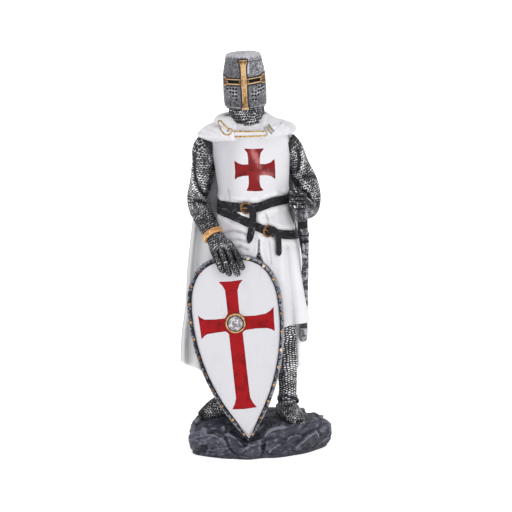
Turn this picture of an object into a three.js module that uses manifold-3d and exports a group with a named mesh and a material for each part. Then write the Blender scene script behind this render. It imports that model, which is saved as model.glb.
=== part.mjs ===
import * as THREE from 'three';
import { mergeVertices } from 'three/addons/utils/BufferGeometryUtils.js';
import Module from 'manifold-3d';

const wasm = await Module();
wasm.setup();

// Driving dimensions, in millimetres and degrees. +Z is up, the knight faces -Y.
const plinthLength = 76;
const plinthDepth = 49;
const plinthHeight = 17;
const tipSeatHeight = 8.2;
const figureHeight = 194;

const shieldWidth = 50;
const shieldThickness = 2.6;
const shieldRimWidth = 2.4;
const shieldRimRise = 0.9;
const shieldCurveRadius = 140;
const shieldTilt = 6;
const shieldLean = 2;
const bossRadius = 5.3;
const bossHeight = 2.9;
const rivetRadius = 0.92;
const rivetSpacing = 9.7;

const scabbardWidth = 3.9;
const scabbardThickness = 3.4;
const guardWidth = 7;
const guardThickness = 5.4;
const pommelRadius = 2;

const beltWidth = 4.9;
const beltThickness = 1;
const buckleRadius = 2.7;
const buckleWire = 0.6;
const tongueWidth = 3.7;
const wristBandWidth = 2.9;
const ankleStrapWidth = 1.7;
const strapThickness = 0.8;

const helmBarWidth = 2.8;
const helmBarRise = 0.5;
const sightHeight = 14.6;
const slitHeight = 1.6;
const slitDepth = 1.3;

const cloakThickness = 2.4;
const hemThickness = 2.6;
const hemRecess = 6;
const clearance = 0.3;

// The figure is sculpted at 194 mm, and every share below is of that height.
const unit = figureHeight / 194;
const fullTurn = 2 * Math.PI;
const front = -Math.PI / 2;

const radians = (degrees) => THREE.MathUtils.degToRad(degrees);
const range = (count) => Array.from({ length: count }, (_, i) => i);
const bell = (distance, width) => Math.exp(-((distance / width) ** 2));
const onFigure = (x, y, z) => new THREE.Vector3(x * unit, y * unit, plinthHeight + z * unit);

// Smooth values between the rows of a table whose first column is the height.
function readTable(rows, height) {
  const last = rows.length - 1;
  const low = height >= rows[last][0] ? last - 1 : Math.max(0, rows.findIndex((row) => row[0] > height) - 1);
  const at = (i) => rows[THREE.MathUtils.clamp(i, 0, last)];
  const [a, b, c, d] = [at(low - 1), at(low), at(low + 1), at(low + 2)];
  const t = THREE.MathUtils.clamp((height - b[0]) / (c[0] - b[0]), 0, 1);
  return b.slice(1).map((value, i) => {
    const k = i + 1;
    const span = c[0] - b[0];
    const slopeIn = b[0] === a[0] ? 0 : (c[k] - a[k]) / (c[0] - a[0]) * span;
    const slopeOut = d[0] === c[0] ? 0 : (d[k] - b[k]) / (d[0] - b[0]) * span;
    const t2 = t * t;
    const t3 = t2 * t;
    return (2 * t3 - 3 * t2 + 1) * value + (t3 - 2 * t2 + t) * slopeIn
      + (3 * t2 - 2 * t3) * c[k] + (t3 - t2) * slopeOut;
  });
}

// Distance from the middle of a rounded section, with its own reach on each side.
function reach(angle, left, right, near, far, power) {
  const across = Math.cos(angle);
  const along = Math.sin(angle);
  const a = across < 0 ? left : right;
  const b = along < 0 ? near : far;
  return (Math.abs(across / a) ** power + Math.abs(along / b) ** power) ** (-1 / power);
}

// A closed solid through rings of equally many points, with a fan over each end.
function loft(rings) {
  const sides = rings[0].length;
  const points = rings.flat();
  const middle = (ring) => ring.reduce((sum, p) => sum.add(p), new THREE.Vector3()).divideScalar(sides);
  const bottom = points.push(middle(rings[0])) - 1;
  const top = points.push(middle(rings[rings.length - 1])) - 1;
  const faces = [];
  for (let r = 0; r < rings.length - 1; r++) {
    for (let s = 0; s < sides; s++) {
      const a = r * sides + s;
      const b = r * sides + (s + 1) % sides;
      faces.push([a, b, b + sides], [a, b + sides, a + sides]);
    }
  }
  const lastRing = (rings.length - 1) * sides;
  for (let s = 0; s < sides; s++) {
    const next = (s + 1) % sides;
    faces.push([bottom, next, s], [top, lastRing + s, lastRing + next]);
  }
  const volume = faces.reduce((sum, [a, b, c]) => (
    sum + points[a].dot(new THREE.Vector3().crossVectors(points[b], points[c]))), 0);
  const index = faces.flatMap(([a, b, c]) => (volume > 0 ? [a, b, c] : [a, c, b]));
  const geometry = new THREE.BufferGeometry();
  geometry.setAttribute('position', new THREE.Float32BufferAttribute(points.flatMap((p) => p.toArray()), 3));
  geometry.setIndex(index);
  return geometry;
}

function solidOf(geometry) {
  const bare = geometry.clone();
  bare.deleteAttribute('normal');
  bare.deleteAttribute('uv');
  const merged = mergeVertices(bare, 1e-4);
  return new wasm.Manifold(new wasm.Mesh({
    numProp: 3,
    vertProperties: Float32Array.from(merged.attributes.position.array),
    triVerts: Uint32Array.from(merged.index.array),
  }));
}

function meshOf(name, solid, colour, roughness, metalness) {
  const { vertProperties, triVerts } = solid.getMesh();
  const geometry = new THREE.BufferGeometry();
  geometry.setAttribute('position', new THREE.BufferAttribute(Float32Array.from(vertProperties), 3));
  geometry.setIndex(new THREE.BufferAttribute(Uint32Array.from(triVerts), 1));
  geometry.computeVertexNormals();
  const mesh = new THREE.Mesh(geometry, new THREE.MeshStandardMaterial({ color: colour, roughness, metalness }));
  mesh.name = name;
  return mesh;
}

const join = (solids) => solids.reduce((sum, solid) => sum.add(solid));

// A limb, finger, strap or blade: an oval or boxy section carried along a smooth line.
// Each station is [x, y, z, half width, half depth] on the figure.
function limb(stations, { sides = 10, steps = 10, power = 2, across = null, grow = 0 } = {}) {
  const line = new THREE.CatmullRomCurve3(stations.map(([x, y, z]) => onFigure(x, y, z)), false, 'centripetal');
  const sizes = stations.map(([, , , wide, deep], i) => [i / (stations.length - 1), wide, deep ?? wide]);
  const frames = line.computeFrenetFrames(steps, false);
  const rings = range(steps + 1).map((i) => {
    const t = i / steps;
    const centre = line.getPoint(t);
    const [wide, deep] = readTable(sizes, t);
    let sideways = frames.normals[i];
    let outward = frames.binormals[i];
    if (across) {
      outward = new THREE.Vector3().crossVectors(frames.tangents[i], across).normalize();
      sideways = new THREE.Vector3().crossVectors(outward, frames.tangents[i]).normalize();
    }
    return range(sides).map((s) => {
      const angle = (s + 0.5) / sides * fullTurn;
      const distance = reach(angle, wide, wide, deep, deep, power) * unit + grow;
      return centre.clone()
        .addScaledVector(sideways, distance * Math.cos(angle))
        .addScaledVector(outward, distance * Math.sin(angle));
    });
  });
  return solidOf(loft(rings));
}

// Rock plinth: a rough oval boulder with a low seat in front for the shield's tip.
const shieldTip = new THREE.Vector3(-5 * unit, -20.2 * unit, tipSeatHeight);
const plinthMiddle = new THREE.Vector2(-1, -2.7);

function rockTop(x, y) {
  const spread = ((x - plinthMiddle.x) / (plinthLength / 2)) ** 2 + ((y - plinthMiddle.y) / (plinthDepth / 2)) ** 2;
  const seatDepth = plinthHeight - tipSeatHeight + 0.6;
  const nearFront = THREE.MathUtils.smoothstep(-y, 9, 17);
  const lumps = 0.7 * Math.sin(0.31 * x + 1) * Math.cos(0.37 * y) + 0.5 * Math.sin(0.63 * x - 0.41 * y);
  return plinthHeight + 0.4 - 2.4 * spread ** 2 + lumps * spread - seatDepth * nearFront * bell(x - shieldTip.x, 9.5);
}

function rockSolid(grow) {
  const sides = 32;
  const skew = 0.13;
  const edge = (angle) => {
    const chips = 0.015 * Math.sin(3 * angle + 1) + 0.018 * Math.sin(7 * angle + 2) + 0.014 * Math.cos(11 * angle);
    return reach(angle, plinthLength / 2, plinthLength / 2, plinthDepth / 2, plinthDepth / 2, 2.05) * (1 + chips);
  };
  const sideRings = [[0.94, 0], [0.985, 0.16], [1, 0.4], [0.985, 0.66], [0.95, 0.86]];
  const topRings = [0.88, 0.76, 0.6, 0.4, 0.18];
  const point = (angle, share) => {
    const x = plinthMiddle.x + share * edge(angle) * Math.cos(angle);
    return [x, plinthMiddle.y + share * edge(angle) * Math.sin(angle) + skew * (x - plinthMiddle.x)];
  };
  const ring = (share, height) => range(sides).map((s) => {
    const angle = s / sides * fullTurn;
    const [x, y] = point(angle, share);
    const out = height === null ? 0 : grow;
    const z = height === null ? rockTop(x, y) + grow : rockTop(x, y) * height + grow * Math.sign(height);
    return new THREE.Vector3(x + out * Math.cos(angle), y + out * Math.sin(angle), z);
  });
  const rings = sideRings.map(([share, height]) => ring(share, height));
  rings.push(...topRings.map((share) => ring(share, null)));
  return solidOf(loft(rings));
}

// Kite shield: two long arcs to the tip below and a full round head, curved across.
const gripHeight = 90.4;
const shieldRise = plinthHeight + gripHeight * unit - tipSeatHeight;
const shieldLength = shieldRise / (Math.cos(radians(shieldTilt)) * Math.cos(radians(shieldLean)));
const shieldWidest = 0.69 * shieldLength;
const shieldUp = new THREE.Vector3(
  -Math.sin(radians(shieldTilt)) * Math.cos(radians(shieldLean)),
  Math.sin(radians(shieldLean)),
  Math.cos(radians(shieldTilt)) * Math.cos(radians(shieldLean)),
);
const shieldAcross = new THREE.Vector3(Math.cos(radians(shieldTilt)), 0, Math.sin(radians(shieldTilt)));
const shieldOut = new THREE.Vector3().crossVectors(shieldAcross, shieldUp);
const shieldPlace = new THREE.Matrix4().makeBasis(shieldAcross, shieldUp, shieldOut).setPosition(
  shieldTip.clone().setY(shieldTip.y + shieldThickness / 2));

function kiteHalfWidth(height) {
  const half = shieldWidth / 2;
  if (height <= shieldWidest) {
    const arc = (shieldWidest ** 2 + half ** 2) / (2 * half);
    return Math.sqrt(Math.max(0, arc ** 2 - (shieldWidest - height) ** 2)) - (arc - half);
  }
  const t = (height - shieldWidest) / (shieldLength - shieldWidest);
  return half * Math.max(0, 1 - t ** 2.5) ** 0.4;
}

// The kite's edge from tip to tip, drawn in by a distance along its own normal.
function kiteOutline(inset) {
  const lower = range(10).map((i) => i / 10 * shieldWidest);
  const upper = range(9).map((i) => (
    shieldWidest + (shieldLength - shieldWidest) * Math.sin((i + 1) / 9 * Math.PI / 2)));
  const rightSide = [...lower, shieldWidest, ...upper].map((h) => new THREE.Vector2(kiteHalfWidth(h), h));
  const leftSide = rightSide.slice(1, -1).reverse().map((p) => new THREE.Vector2(-p.x, p.y));
  const edge = [...rightSide, ...leftSide];
  return edge.map((p, i) => {
    const before = edge[(i + edge.length - 1) % edge.length];
    const after = edge[(i + 1) % edge.length];
    const along = after.clone().sub(before).normalize();
    const taper = inset > 0 ? 0.45 + 0.55 * THREE.MathUtils.smoothstep(p.y, 0, 0.12 * shieldLength) : 1;
    return new THREE.Vector2(p.x - along.y * inset * taper, p.y + along.x * inset * taper);
  });
}

function kitePrism(inset) {
  const depth = 40;
  const prism = new THREE.ExtrudeGeometry(new THREE.Shape(kiteOutline(inset)), { depth, bevelEnabled: false });
  return solidOf(prism.translate(0, 0, -depth / 2));
}

// A sheet bent across its width, from one depth to another, taller than the shield.
function bentSheet(back, face) {
  const margin = 12;
  const reachAcross = shieldWidth / 2 + margin;
  const stations = range(7).map((i) => -reachAcross + 2 * reachAcross * i / 6);
  const bend = (w) => w ** 2 / (2 * shieldCurveRadius);
  const nearSide = stations.map((w) => new THREE.Vector2(w, bend(w) - face));
  const farSide = stations.map((w) => new THREE.Vector2(w, bend(w) - back)).reverse();
  const sheet = new THREE.ExtrudeGeometry(new THREE.Shape([...nearSide, ...farSide]), {
    depth: shieldLength + 2 * margin, bevelEnabled: false,
  });
  return solidOf(sheet.rotateX(-Math.PI / 2).translate(0, -margin, 0));
}

function shieldBody(grow) {
  const plate = kitePrism(-grow).intersect(bentSheet(-grow, shieldThickness + grow));
  const rimFace = shieldThickness + shieldRimRise + grow;
  const rim = kitePrism(-grow).subtract(kitePrism(shieldRimWidth + grow)).intersect(bentSheet(0, rimFace));
  return plate.add(rim);
}

// Domed boss in a raised ring, turned about the shield's own outward direction.
function shieldBoss() {
  const ringInside = bossRadius - 1.2;
  const arc = range(4).map((i) => i / 3 * Math.PI / 2);
  const profile = [
    new THREE.Vector2(0, -1),
    new THREE.Vector2(bossRadius, -1),
    new THREE.Vector2(bossRadius, 0.9),
    new THREE.Vector2(bossRadius - 0.6, 1.4),
    new THREE.Vector2(ringInside, 0.7),
    ...arc.map((a) => new THREE.Vector2(ringInside * Math.cos(a), 0.7 + (bossHeight - 0.7) * Math.sin(a))),
  ].filter((p, i, all) => i === 0 || p.distanceTo(all[i - 1]) > 1e-3);
  profile[profile.length - 1].x = 0;
  const turned = new THREE.LatheGeometry(profile, 12);
  return solidOf(turned.rotateX(Math.PI / 2).translate(-0.6, 0.642 * shieldLength, shieldThickness));
}

function shieldRivets() {
  const line = new THREE.CatmullRomCurve3(
    kiteOutline(shieldRimWidth / 2).map((p) => new THREE.Vector3(p.x, p.y, 0)), true);
  const count = Math.max(6, Math.round(line.getLength() / rivetSpacing));
  const underHand = (p) => p.y > 0.93 * shieldLength && p.x > -13 * unit && p.x < 8 * unit;
  const places = range(count).map((i) => line.getPointAt((i + 0.5) / count)).filter((p) => !underHand(p));
  return places.map((p) => solidOf(new THREE.OctahedronGeometry(rivetRadius, 0).translate(
    p.x, p.y, shieldThickness + shieldRimRise - p.x ** 2 / (2 * shieldCurveRadius) + 0.1)));
}

function shieldSolid() {
  const parts = [shieldBody(0), shieldBoss(), ...shieldRivets()];
  return join(parts).transform(shieldPlace.elements);
}

const shieldRoom = () => shieldBody(clearance).transform(shieldPlace.elements);

// Sword in its scabbard: hilt in the fist, then down beside the skirt.
const hiltLine = [[20.2, -12.8, 122.6], [20.8, -12.6, 117], [22.2, -11.4, 110], [23, -10.6, 107]];
const scabbardLine = [
  [23, -10.8, 108.6, 1.18], [23.2, -10.2, 104.4, 1.08], [24, -8.6, 100, 1], [24.2, -5.5, 86, 0.97],
  [24.1, -1.5, 66, 0.97], [23.7, 2.4, 48, 1.08], [23.5, 3.2, 42.4, 1.1], [23.5, 3.3, 39.9, 0.8], [23.5, 3.3, 39.2, 0.25],
];
const guardLine = [[22, -11.4, 107.9, 0.69], [22, -11.5, 108.8, 0.93], [22, -11.6, 111.4, 1], [21.8, -11.7, 114, 0.93], [21.6, -11.7, 115.4, 0.66]];

function swordSolid(grow) {
  const facing = new THREE.Vector3(0, -1, 0);
  const sized = (line, width, thickness) => line.map(([x, y, z, share]) => (
    [x, y, z, share * width / 2 / unit, share * thickness / 2 / unit]));
  const pommel = onFigure(...hiltLine[0]);
  return join([
    limb(sized(scabbardLine, scabbardWidth, scabbardThickness), { sides: 8, steps: 8, power: 2.3, across: facing, grow }),
    limb(hiltLine.map((p) => [...p, 1.3]), { sides: 6, steps: 3, grow }),
    limb(sized(guardLine, guardWidth, guardThickness), { sides: 8, steps: 4, power: 2.8, across: facing, grow }),
    solidOf(new THREE.SphereGeometry(pommelRadius + grow, 8, 6).translate(pommel.x, pommel.y, pommel.z)),
  ]);
}

// Surcoat and skirt. Columns: height, middle x and y, half width, depth near and far, fold depth.
const hemHeight = 49.5;
const hemLift = 3.4;
const surcoatRows = [
  [hemHeight, -2, 0, 28.4, 15.3, 17, 1.3],
  [64, -2.1, 0, 26.8, 14.8, 16.8, 1.1],
  [78, -2.3, 0, 25.3, 14.4, 16.2, 0.9],
  [92, -2.4, 0, 23.6, 14.2, 15.5, 0.6],
  [104, -2.7, -0.5, 20.6, 13.6, 13.5, 0.35],
  [112, -2.9, -1, 18.4, 12.6, 12.5, 0.2],
  [118, -3, -1, 17.9, 12.3, 12, 0.1],
  [126, -3.2, -1, 18.8, 12.6, 12.3, 0.1],
  [136, -3.6, -0.8, 19.6, 13.2, 12.6, 0],
  [144, -4.2, -0.4, 20.4, 12.9, 12.6, 0],
  [150, -4.8, 0, 20.2, 11.4, 12, 0],
  [155, -5.2, 0.3, 16.4, 10.2, 10.5, 0],
  [159, -5.6, 0.3, 11, 9.4, 9, 0],
];

// Hanging folds deepen towards the hem, a slit opens in front, and one side gives way to the sword.
function surcoatPoint(angle, height, outward = 0) {
  const [x, y, wide, near, far, fold] = readTable(surcoatRows, height);
  const below = THREE.MathUtils.clamp((92 - height) / (92 - hemHeight), 0, 1);
  const waves = Math.cos(7 * angle + 0.9) + 0.6 * Math.cos(12 * angle + 2.2) + 0.35 * Math.cos(19 * angle);
  const swordSide = radians(-4 + 15 * below);
  const swordRoom = 4.8 * below * bell(angle - swordSide, radians(14)) - 2.2 * below * bell(angle - radians(-20), radians(13));
  const slit = 1.3 * THREE.MathUtils.smoothstep(104 - height, 0, 10) * bell(angle - front - radians(4), radians(4));
  const distance = reach(angle, wide, wide, near, far, 2.15) + 0.6 * fold * waves - swordRoom - slit + outward;
  return onFigure(x + distance * Math.cos(angle), y + distance * Math.sin(angle), height);
}

const surcoatSides = 26;
const anglesOf = (sides) => range(sides).map((s) => -Math.PI + (s + 0.5) / sides * fullTurn);

// The hem hangs a little higher on the sword side.
const liftAt = (angle, height) => hemLift * bell(angle - radians(-5), radians(42)) * (1 - (height - hemHeight) / 109);

function surcoatSolid() {
  const heights = [hemHeight, 60, 72, 84, 95, 104, 112, 120, 130, 139, 147, 153];
  const ring = (height, outward) => (
    anglesOf(surcoatSides).map((angle) => surcoatPoint(angle, height + liftAt(angle, height), outward)));
  const ceiling = ring(hemHeight, -hemThickness / unit).map((p) => p.setZ(p.z + hemRecess));
  return solidOf(loft([ceiling, ring(hemHeight, -hemThickness / unit), ...heights.map((h) => ring(h, 0))]));
}

// A strap lying on the surcoat: its mid height and drop are read at each angle.
function beltSolid(middleAt, width) {
  const half = width / 2 / unit;
  const rise = beltThickness / unit;
  const ring = (offset, outward) => anglesOf(surcoatSides).map((angle) => (
    surcoatPoint(angle, middleAt(angle) + offset, outward)));
  return solidOf(loft([ring(-half, -1.2), ring(-half, rise), ring(half, rise), ring(half, -1.2)]));
}

const waistBelt = (angle) => 115.2 + 3 * THREE.MathUtils.smoothstep(Math.cos(angle), 0.05, 0.9);
const swordBelt = (angle) => 106 - 7.2 * Math.sin(THREE.MathUtils.clamp(angle - front, -1.7, 1.7) * 0.92);

function buckleSolid(angle, height) {
  const place = surcoatPoint(angle, height, beltThickness / unit);
  const ring = new THREE.TorusGeometry(buckleRadius, buckleWire, 4, 8);
  const prong = new THREE.CylinderGeometry(buckleWire * 0.8, buckleWire * 0.8, 2 * buckleRadius, 5);
  const turn = angle - front;
  return join([ring, prong.rotateZ(Math.PI / 2)].map((shape) => solidOf(
    shape.rotateX(Math.PI / 2).rotateZ(turn).translate(place.x, place.y, place.z))));
}

// Loose strap end: from the belt down over the skirt to a tip.
function tongueSolid(points, tipShare) {
  const half = tongueWidth / 2 / unit;
  const deep = 0.75 * beltThickness / unit;
  const stations = points.map(([angle, height, outward], i) => {
    const p = surcoatPoint(angle, height, outward);
    const share = i === points.length - 1 ? tipShare : 1;
    return [p.x / unit, p.y / unit, (p.z - plinthHeight) / unit, half * share, deep];
  });
  return limb(stations, { sides: 4, steps: 5, power: 9, across: new THREE.Vector3(0, -1, 0.2) });
}

// Mantle with its rolled hood. Columns: height, left, right, near and far reach, front drop.
const mantleMiddle = [-5.5, 1];
const mantleRows = [
  [0, 146.5, 21.5, 19.5, 11, 12, 0],
  [1, 152, 27, 24.2, 13.2, 14, 0.8],
  [2, 154.2, 25.8, 24.4, 13.9, 14.2, 1.4],
  [3, 156.6, 22.6, 22, 13.8, 14, 2.2],
  [4, 158.2, 19.4, 17.2, 13, 13.8, 2.8],
  [5, 160.6, 18.1, 12.4, 12, 13.2, 3.7],
  [6, 162, 16.3, 10.2, 10.9, 12, 4.2],
  [7, 162, 12.8, 8.8, 9.8, 10.4, 4.1],
  [8, 157, 10.6, 8, 8.6, 8.8, 1.2],
];

function mantlePoint(angle, level) {
  const [height, left, right, near, far, drop] = readTable(mantleRows, level);
  const away = Math.abs(angle - front);
  const turn = Math.min(away, fullTurn - away);
  const inFront = 1 - THREE.MathUtils.smoothstep(turn, radians(24), radians(54));
  const edge = radians(Math.cos(angle) > 0 ? 38 : 30);
  const lapel = 1.1 * THREE.MathUtils.smoothstep(turn, edge - 0.05, edge + 0.05);
  const folds = 0.35 * Math.cos(9 * angle + 1) * Math.min(1, level / 3);
  const distance = reach(angle, left, right, near, far, 2) + folds + (Math.sin(angle) < 0 ? lapel : 1.1) - 1.1;
  const across = distance * Math.cos(angle);
  return onFigure(
    mantleMiddle[0] + across,
    mantleMiddle[1] + distance * Math.sin(angle),
    height - drop * inFront + 0.045 * across,
  );
}

const mantleSolid = () => solidOf(loft(range(mantleRows.length).map((level) => (
  anglesOf(20).map((angle) => mantlePoint(angle, level))))));

// Cloak. Columns: height, middle x, half width, depth, angle of the left and of the right edge.
const cloakRows = [
  [18, -9.3, 32.4, 18.2, 180, 4],
  [40, -9.4, 32, 17.8, 180, 3],
  [60, -8.6, 30.4, 17, 182, 0],
  [80, -7.9, 30, 16.2, 184, -3],
  [100, -7.2, 28.6, 15.2, 187, -6],
  [120, -6.5, 27, 14, 190, -8],
  [140, -5.6, 25.4, 12.8, 193, -10],
  [154, -5.2, 22, 11.2, 195, -12],
];

// It is thin at its sides and below the skirt, and thick where it lies against the back.
function cloakPoint(share, fall, inside) {
  const corner = THREE.MathUtils.clamp((Math.cos(3.07 * share) - 0.61) / 0.39, 0, 1) + 0.2 * bell(share, 0.02);
  const hem = 17.4 + 9.2 * corner + 8.6 * bell(1 - share, 0.12) + 0.5 * Math.sin(9 * share * Math.PI) * (1 - corner);
  const height = 154 + (hem - 154) * fall;
  const [x, wide, deep, left, right] = readTable(cloakRows, height);
  const angle = radians(left + (right - left) * share);
  const middle = Math.sin(THREE.MathUtils.clamp(share, 0, 1) * Math.PI);
  const waves = 1.5 * Math.cos(11 * angle + 0.5) + 0.8 * Math.cos(18 * angle + 2);
  const folds = 0.8 * waves * fall * middle ** 0.5;
  const againstBack = 6.5 * middle ** 1.5 * THREE.MathUtils.smoothstep(height, hemHeight, hemHeight + 8);
  const inward = inside ? cloakThickness / unit + againstBack : 0;
  const a = wide + folds - inward;
  const b = deep + folds - inward;
  return onFigure(x + a * Math.cos(angle), 4 + b * Math.sin(angle), height);
}

function cloakSolid() {
  const across = 16;
  const rows = [0, 0.2, 0.4, 0.6, 0.8, 0.93, 1];
  return solidOf(loft(rows.map((fall) => {
    const outside = range(across + 1).map((i) => cloakPoint(i / across, fall, false));
    const inside = range(across + 1).map((i) => cloakPoint(0.004 + 0.992 * i / across, fall, true)).reverse();
    return [...outside, ...inside];
  })));
}

// Great helm: a barrel with a keeled front. Columns: height, half width, depth near, depth far.
const helmFoot = [-6.9, -1, 166.6];
const helmRows = [
  [0, 10.1, 10.8, 10.6],
  [1.2, 10.8, 11.6, 11.2],
  [6, 11.1, 12.2, 11.8],
  [13, 11.1, 12.4, 12],
  [18, 10.8, 11.7, 11.6],
  [23, 9.9, 10.2, 10.6],
  [26.9, 9, 8.4, 9.4],
  [27.7, 8.2, 7.6, 8.7],
];

const helmPlace = new THREE.Matrix4().makeRotationFromEuler(new THREE.Euler(0, radians(-3), radians(-0.5)));

function onHelm(x, y, z) {
  const p = new THREE.Vector3(x, y, z).applyMatrix4(helmPlace);
  return onFigure(helmFoot[0] + p.x, helmFoot[1] + p.y, helmFoot[2] + p.z);
}

function helmSolid(grow) {
  const sides = 20;
  const rise = grow / unit;
  return solidOf(loft(helmRows.map(([level, wide, near, far]) => {
    return range(sides).map((s) => {
      const angle = s / sides * fullTurn;
      const keel = 0.7 * bell(Math.cos(angle), 0.22) * (Math.sin(angle) < 0 && level < 26 ? 1 : 0);
      const distance = reach(angle, wide, wide, near, far, 2.1) + keel + rise;
      return onHelm(distance * Math.cos(angle), distance * Math.sin(angle), level);
    });
  })));
}

// A block in the helm's own directions, for its bars and sights.
function helmBlock([x0, x1], [y0, y1], [z0, z1]) {
  const corners = [[x0, y0], [x1, y0], [x1, y1], [x0, y1]];
  return solidOf(loft([z0, z1].map((z) => corners.map(([x, y]) => onHelm(x, y, z)))));
}

function helmWithBars() {
  const half = helmBarWidth / 2 / unit;
  const middle = sightHeight / unit;
  const bars = join([
    helmBlock([-half, half], [-20, 0], [0.2, 25.4]),
    helmBlock([-10.4, 10.4], [-20, 0], [middle - half, middle + half]),
    helmBlock([8.6, 10.4], [-20, 0], [middle - half - 1, middle + half + 1]),
    helmBlock([-10.4, -8.6], [-20, 0], [middle - half - 1, middle + half + 1]),
  ]);
  const tall = slitHeight / 2 / unit;
  const sights = join([-1, 1].map((side) => helmBlock(
    [Math.min(side * 2.6, side * 8.2), Math.max(side * 2.6, side * 8.2)], [-20, 0],
    [middle - tall, middle + tall])));
  return helmSolid(0)
    .add(helmSolid(helmBarRise).intersect(bars))
    .subtract(sights.subtract(helmSolid(-slitDepth)));
}

// Arms, legs and hands in mail.
const elbowArm = [
  [-21.5, 1, 148.5, 6.4], [-27.9, 0.5, 144.2, 6.4], [-28.8, 1, 135, 6.1], [-30.3, 1.5, 126, 6], [-32.4, 2.3, 117, 5.3],
  [-30.9, 1, 111.5, 5.6], [-27.8, -3, 106, 5.4], [-25, -6.4, 101.5, 5.1], [-22.9, -9, 98, 4.7],
];
const swordArm = [
  [12, 1, 149.5, 5.4], [16.8, 1.5, 144.6, 5.5], [20.3, 2.4, 136, 5.4], [23.6, 4, 127, 6.3], [26.2, 5.8, 118, 6.3],
  [26, 4.4, 112.4, 6], [24.2, -1, 112.2, 5.5], [22.4, -6.5, 115, 5], [21, -10, 118, 4.4],
];
const handStations = [
  [-22.7, -9, 98.4, 4.7, 4.2], [-21.4, -11.5, 95.8, 5.4, 3.6], [-19.3, -13.8, 93.4, 6.8, 3], [-17.2, -15.4, 91.8, 7, 2.4],
];
const fingers = [
  [[-21.6, -11, 95.4], [-22.8, -17, 91.4], [-20.8, -21.4, 87], [-18.7, -22.2, 82.6]],
  [[-20, -12, 95.4], [-19.4, -18, 91.8], [-17.3, -22, 86.4], [-15.3, -22.6, 81]],
  [[-18.4, -12, 95.6], [-15.8, -18.2, 92], [-13.2, -22.2, 86.4], [-10.9, -22.6, 81]],
  [[-17, -11, 95.8], [-12.4, -17.4, 92], [-10, -21.6, 88], [-8.5, -22.2, 84.2]],
];
const legs = [
  { line: [[-13, 1, 62, 7.4], [-14.8, 2, 47, 6.8], [-16.2, 4, 32, 6.2], [-17.4, 4.6, 17, 4.9], [-17.6, 4.6, 6, 4.8]],
    foot: [[-14.2, 9.8, 2.6, 3, 3.6], [-18.4, 4.8, 3.8, 5.2, 4.6], [-23.4, -0.4, 3.4, 5, 4.6], [-27.8, -4.4, 2.2, 3.5, 4.1],
      [-30.4, -6.8, 1.5, 2.2, 3], [-31.5, -7.8, 1.1, 0.7, 0.9]] },
  { line: [[11, 0, 62, 7.4], [13.4, -0.4, 47, 6.6], [14.4, 0.4, 32, 6], [15.3, 0, 17, 4.8], [15, 0.2, 6, 4.8]],
    foot: [[12.4, 5.2, 2.6, 3, 3.6], [14.8, 0, 3.6, 4.6, 4.8], [17.2, -8.2, 2.9, 4.4, 5.4], [19.6, -14.2, 1.9, 3, 4.5],
      [21.5, -17.6, 1.4, 2, 3], [22.2, -19, 1.1, 0.7, 0.9]] },
];

const shoulders = [[-22.5, 4, 147.5, 7.8], [-5, 4, 149.5, 9.5], [14, 4, 148.5, 7.8]];

function bandOn(line, from, to, width, rise) {
  const [a, b] = [from, to].map(([x, y, z]) => new THREE.Vector3(x, y, z));
  const half = b.clone().sub(a).normalize().multiplyScalar(width / 2 / unit);
  const middle = a.clone().add(b).multiplyScalar(0.5);
  const radius = line + rise / unit;
  const ends = [middle.clone().sub(half), middle, middle.clone().add(half)];
  return limb(ends.map((p) => [p.x, p.y, p.z, radius]), { sides: 7, steps: 2 });
}

// Two thin straps around an ankle, the lower one slanting over the instep.
const ankleStraps = ([x, y]) => [
  bandOn(4.8, [x + 0.2, y + 0.2, 8.4], [x + 0.1, y, 11], ankleStrapWidth, strapThickness),
  bandOn(5.2, [x + 0.2, y - 2, 6.6], [x + 0.8, y + 0.6, 10.2], ankleStrapWidth, strapThickness),
];

// The fist around the hilt: a rounded palm, four fingers and the thumb over them.
const fistMiddle = [20.7, -11.2, 119.5];
const fistRadius = 3.8;
const knuckleSpacing = 2.1;

function fistSolids() {
  const [x, y, z] = fistMiddle;
  const palm = new THREE.SphereGeometry(fistRadius * unit, 10, 6).scale(1.1, 1.05, 1.2);
  const fist = range(4).map((i) => {
    const level = z + (i - 1.6) * knuckleSpacing;
    return [[x - 3, y + 1, level, 1.2], [x - 3.3, y - 2.9, level + 0.2, 1.35], [x + 0.2, y - 4.4, level + 0.3, 1.35],
      [x + 3.2, y - 1.8, level, 1.2]];
  });
  const thumb = [[x - 3.2, y + 1.5, z + 3.2, 1.4], [x - 3.5, y - 2.6, z + 4.1, 1.35], [x, y - 4.4, z + 4.4, 1.1]];
  return [
    solidOf(palm.translate(...onFigure(x, y, z).toArray())),
    ...[...fist, thumb].map((stations) => limb(stations, { sides: 5, steps: 3 })),
  ];
}

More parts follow.
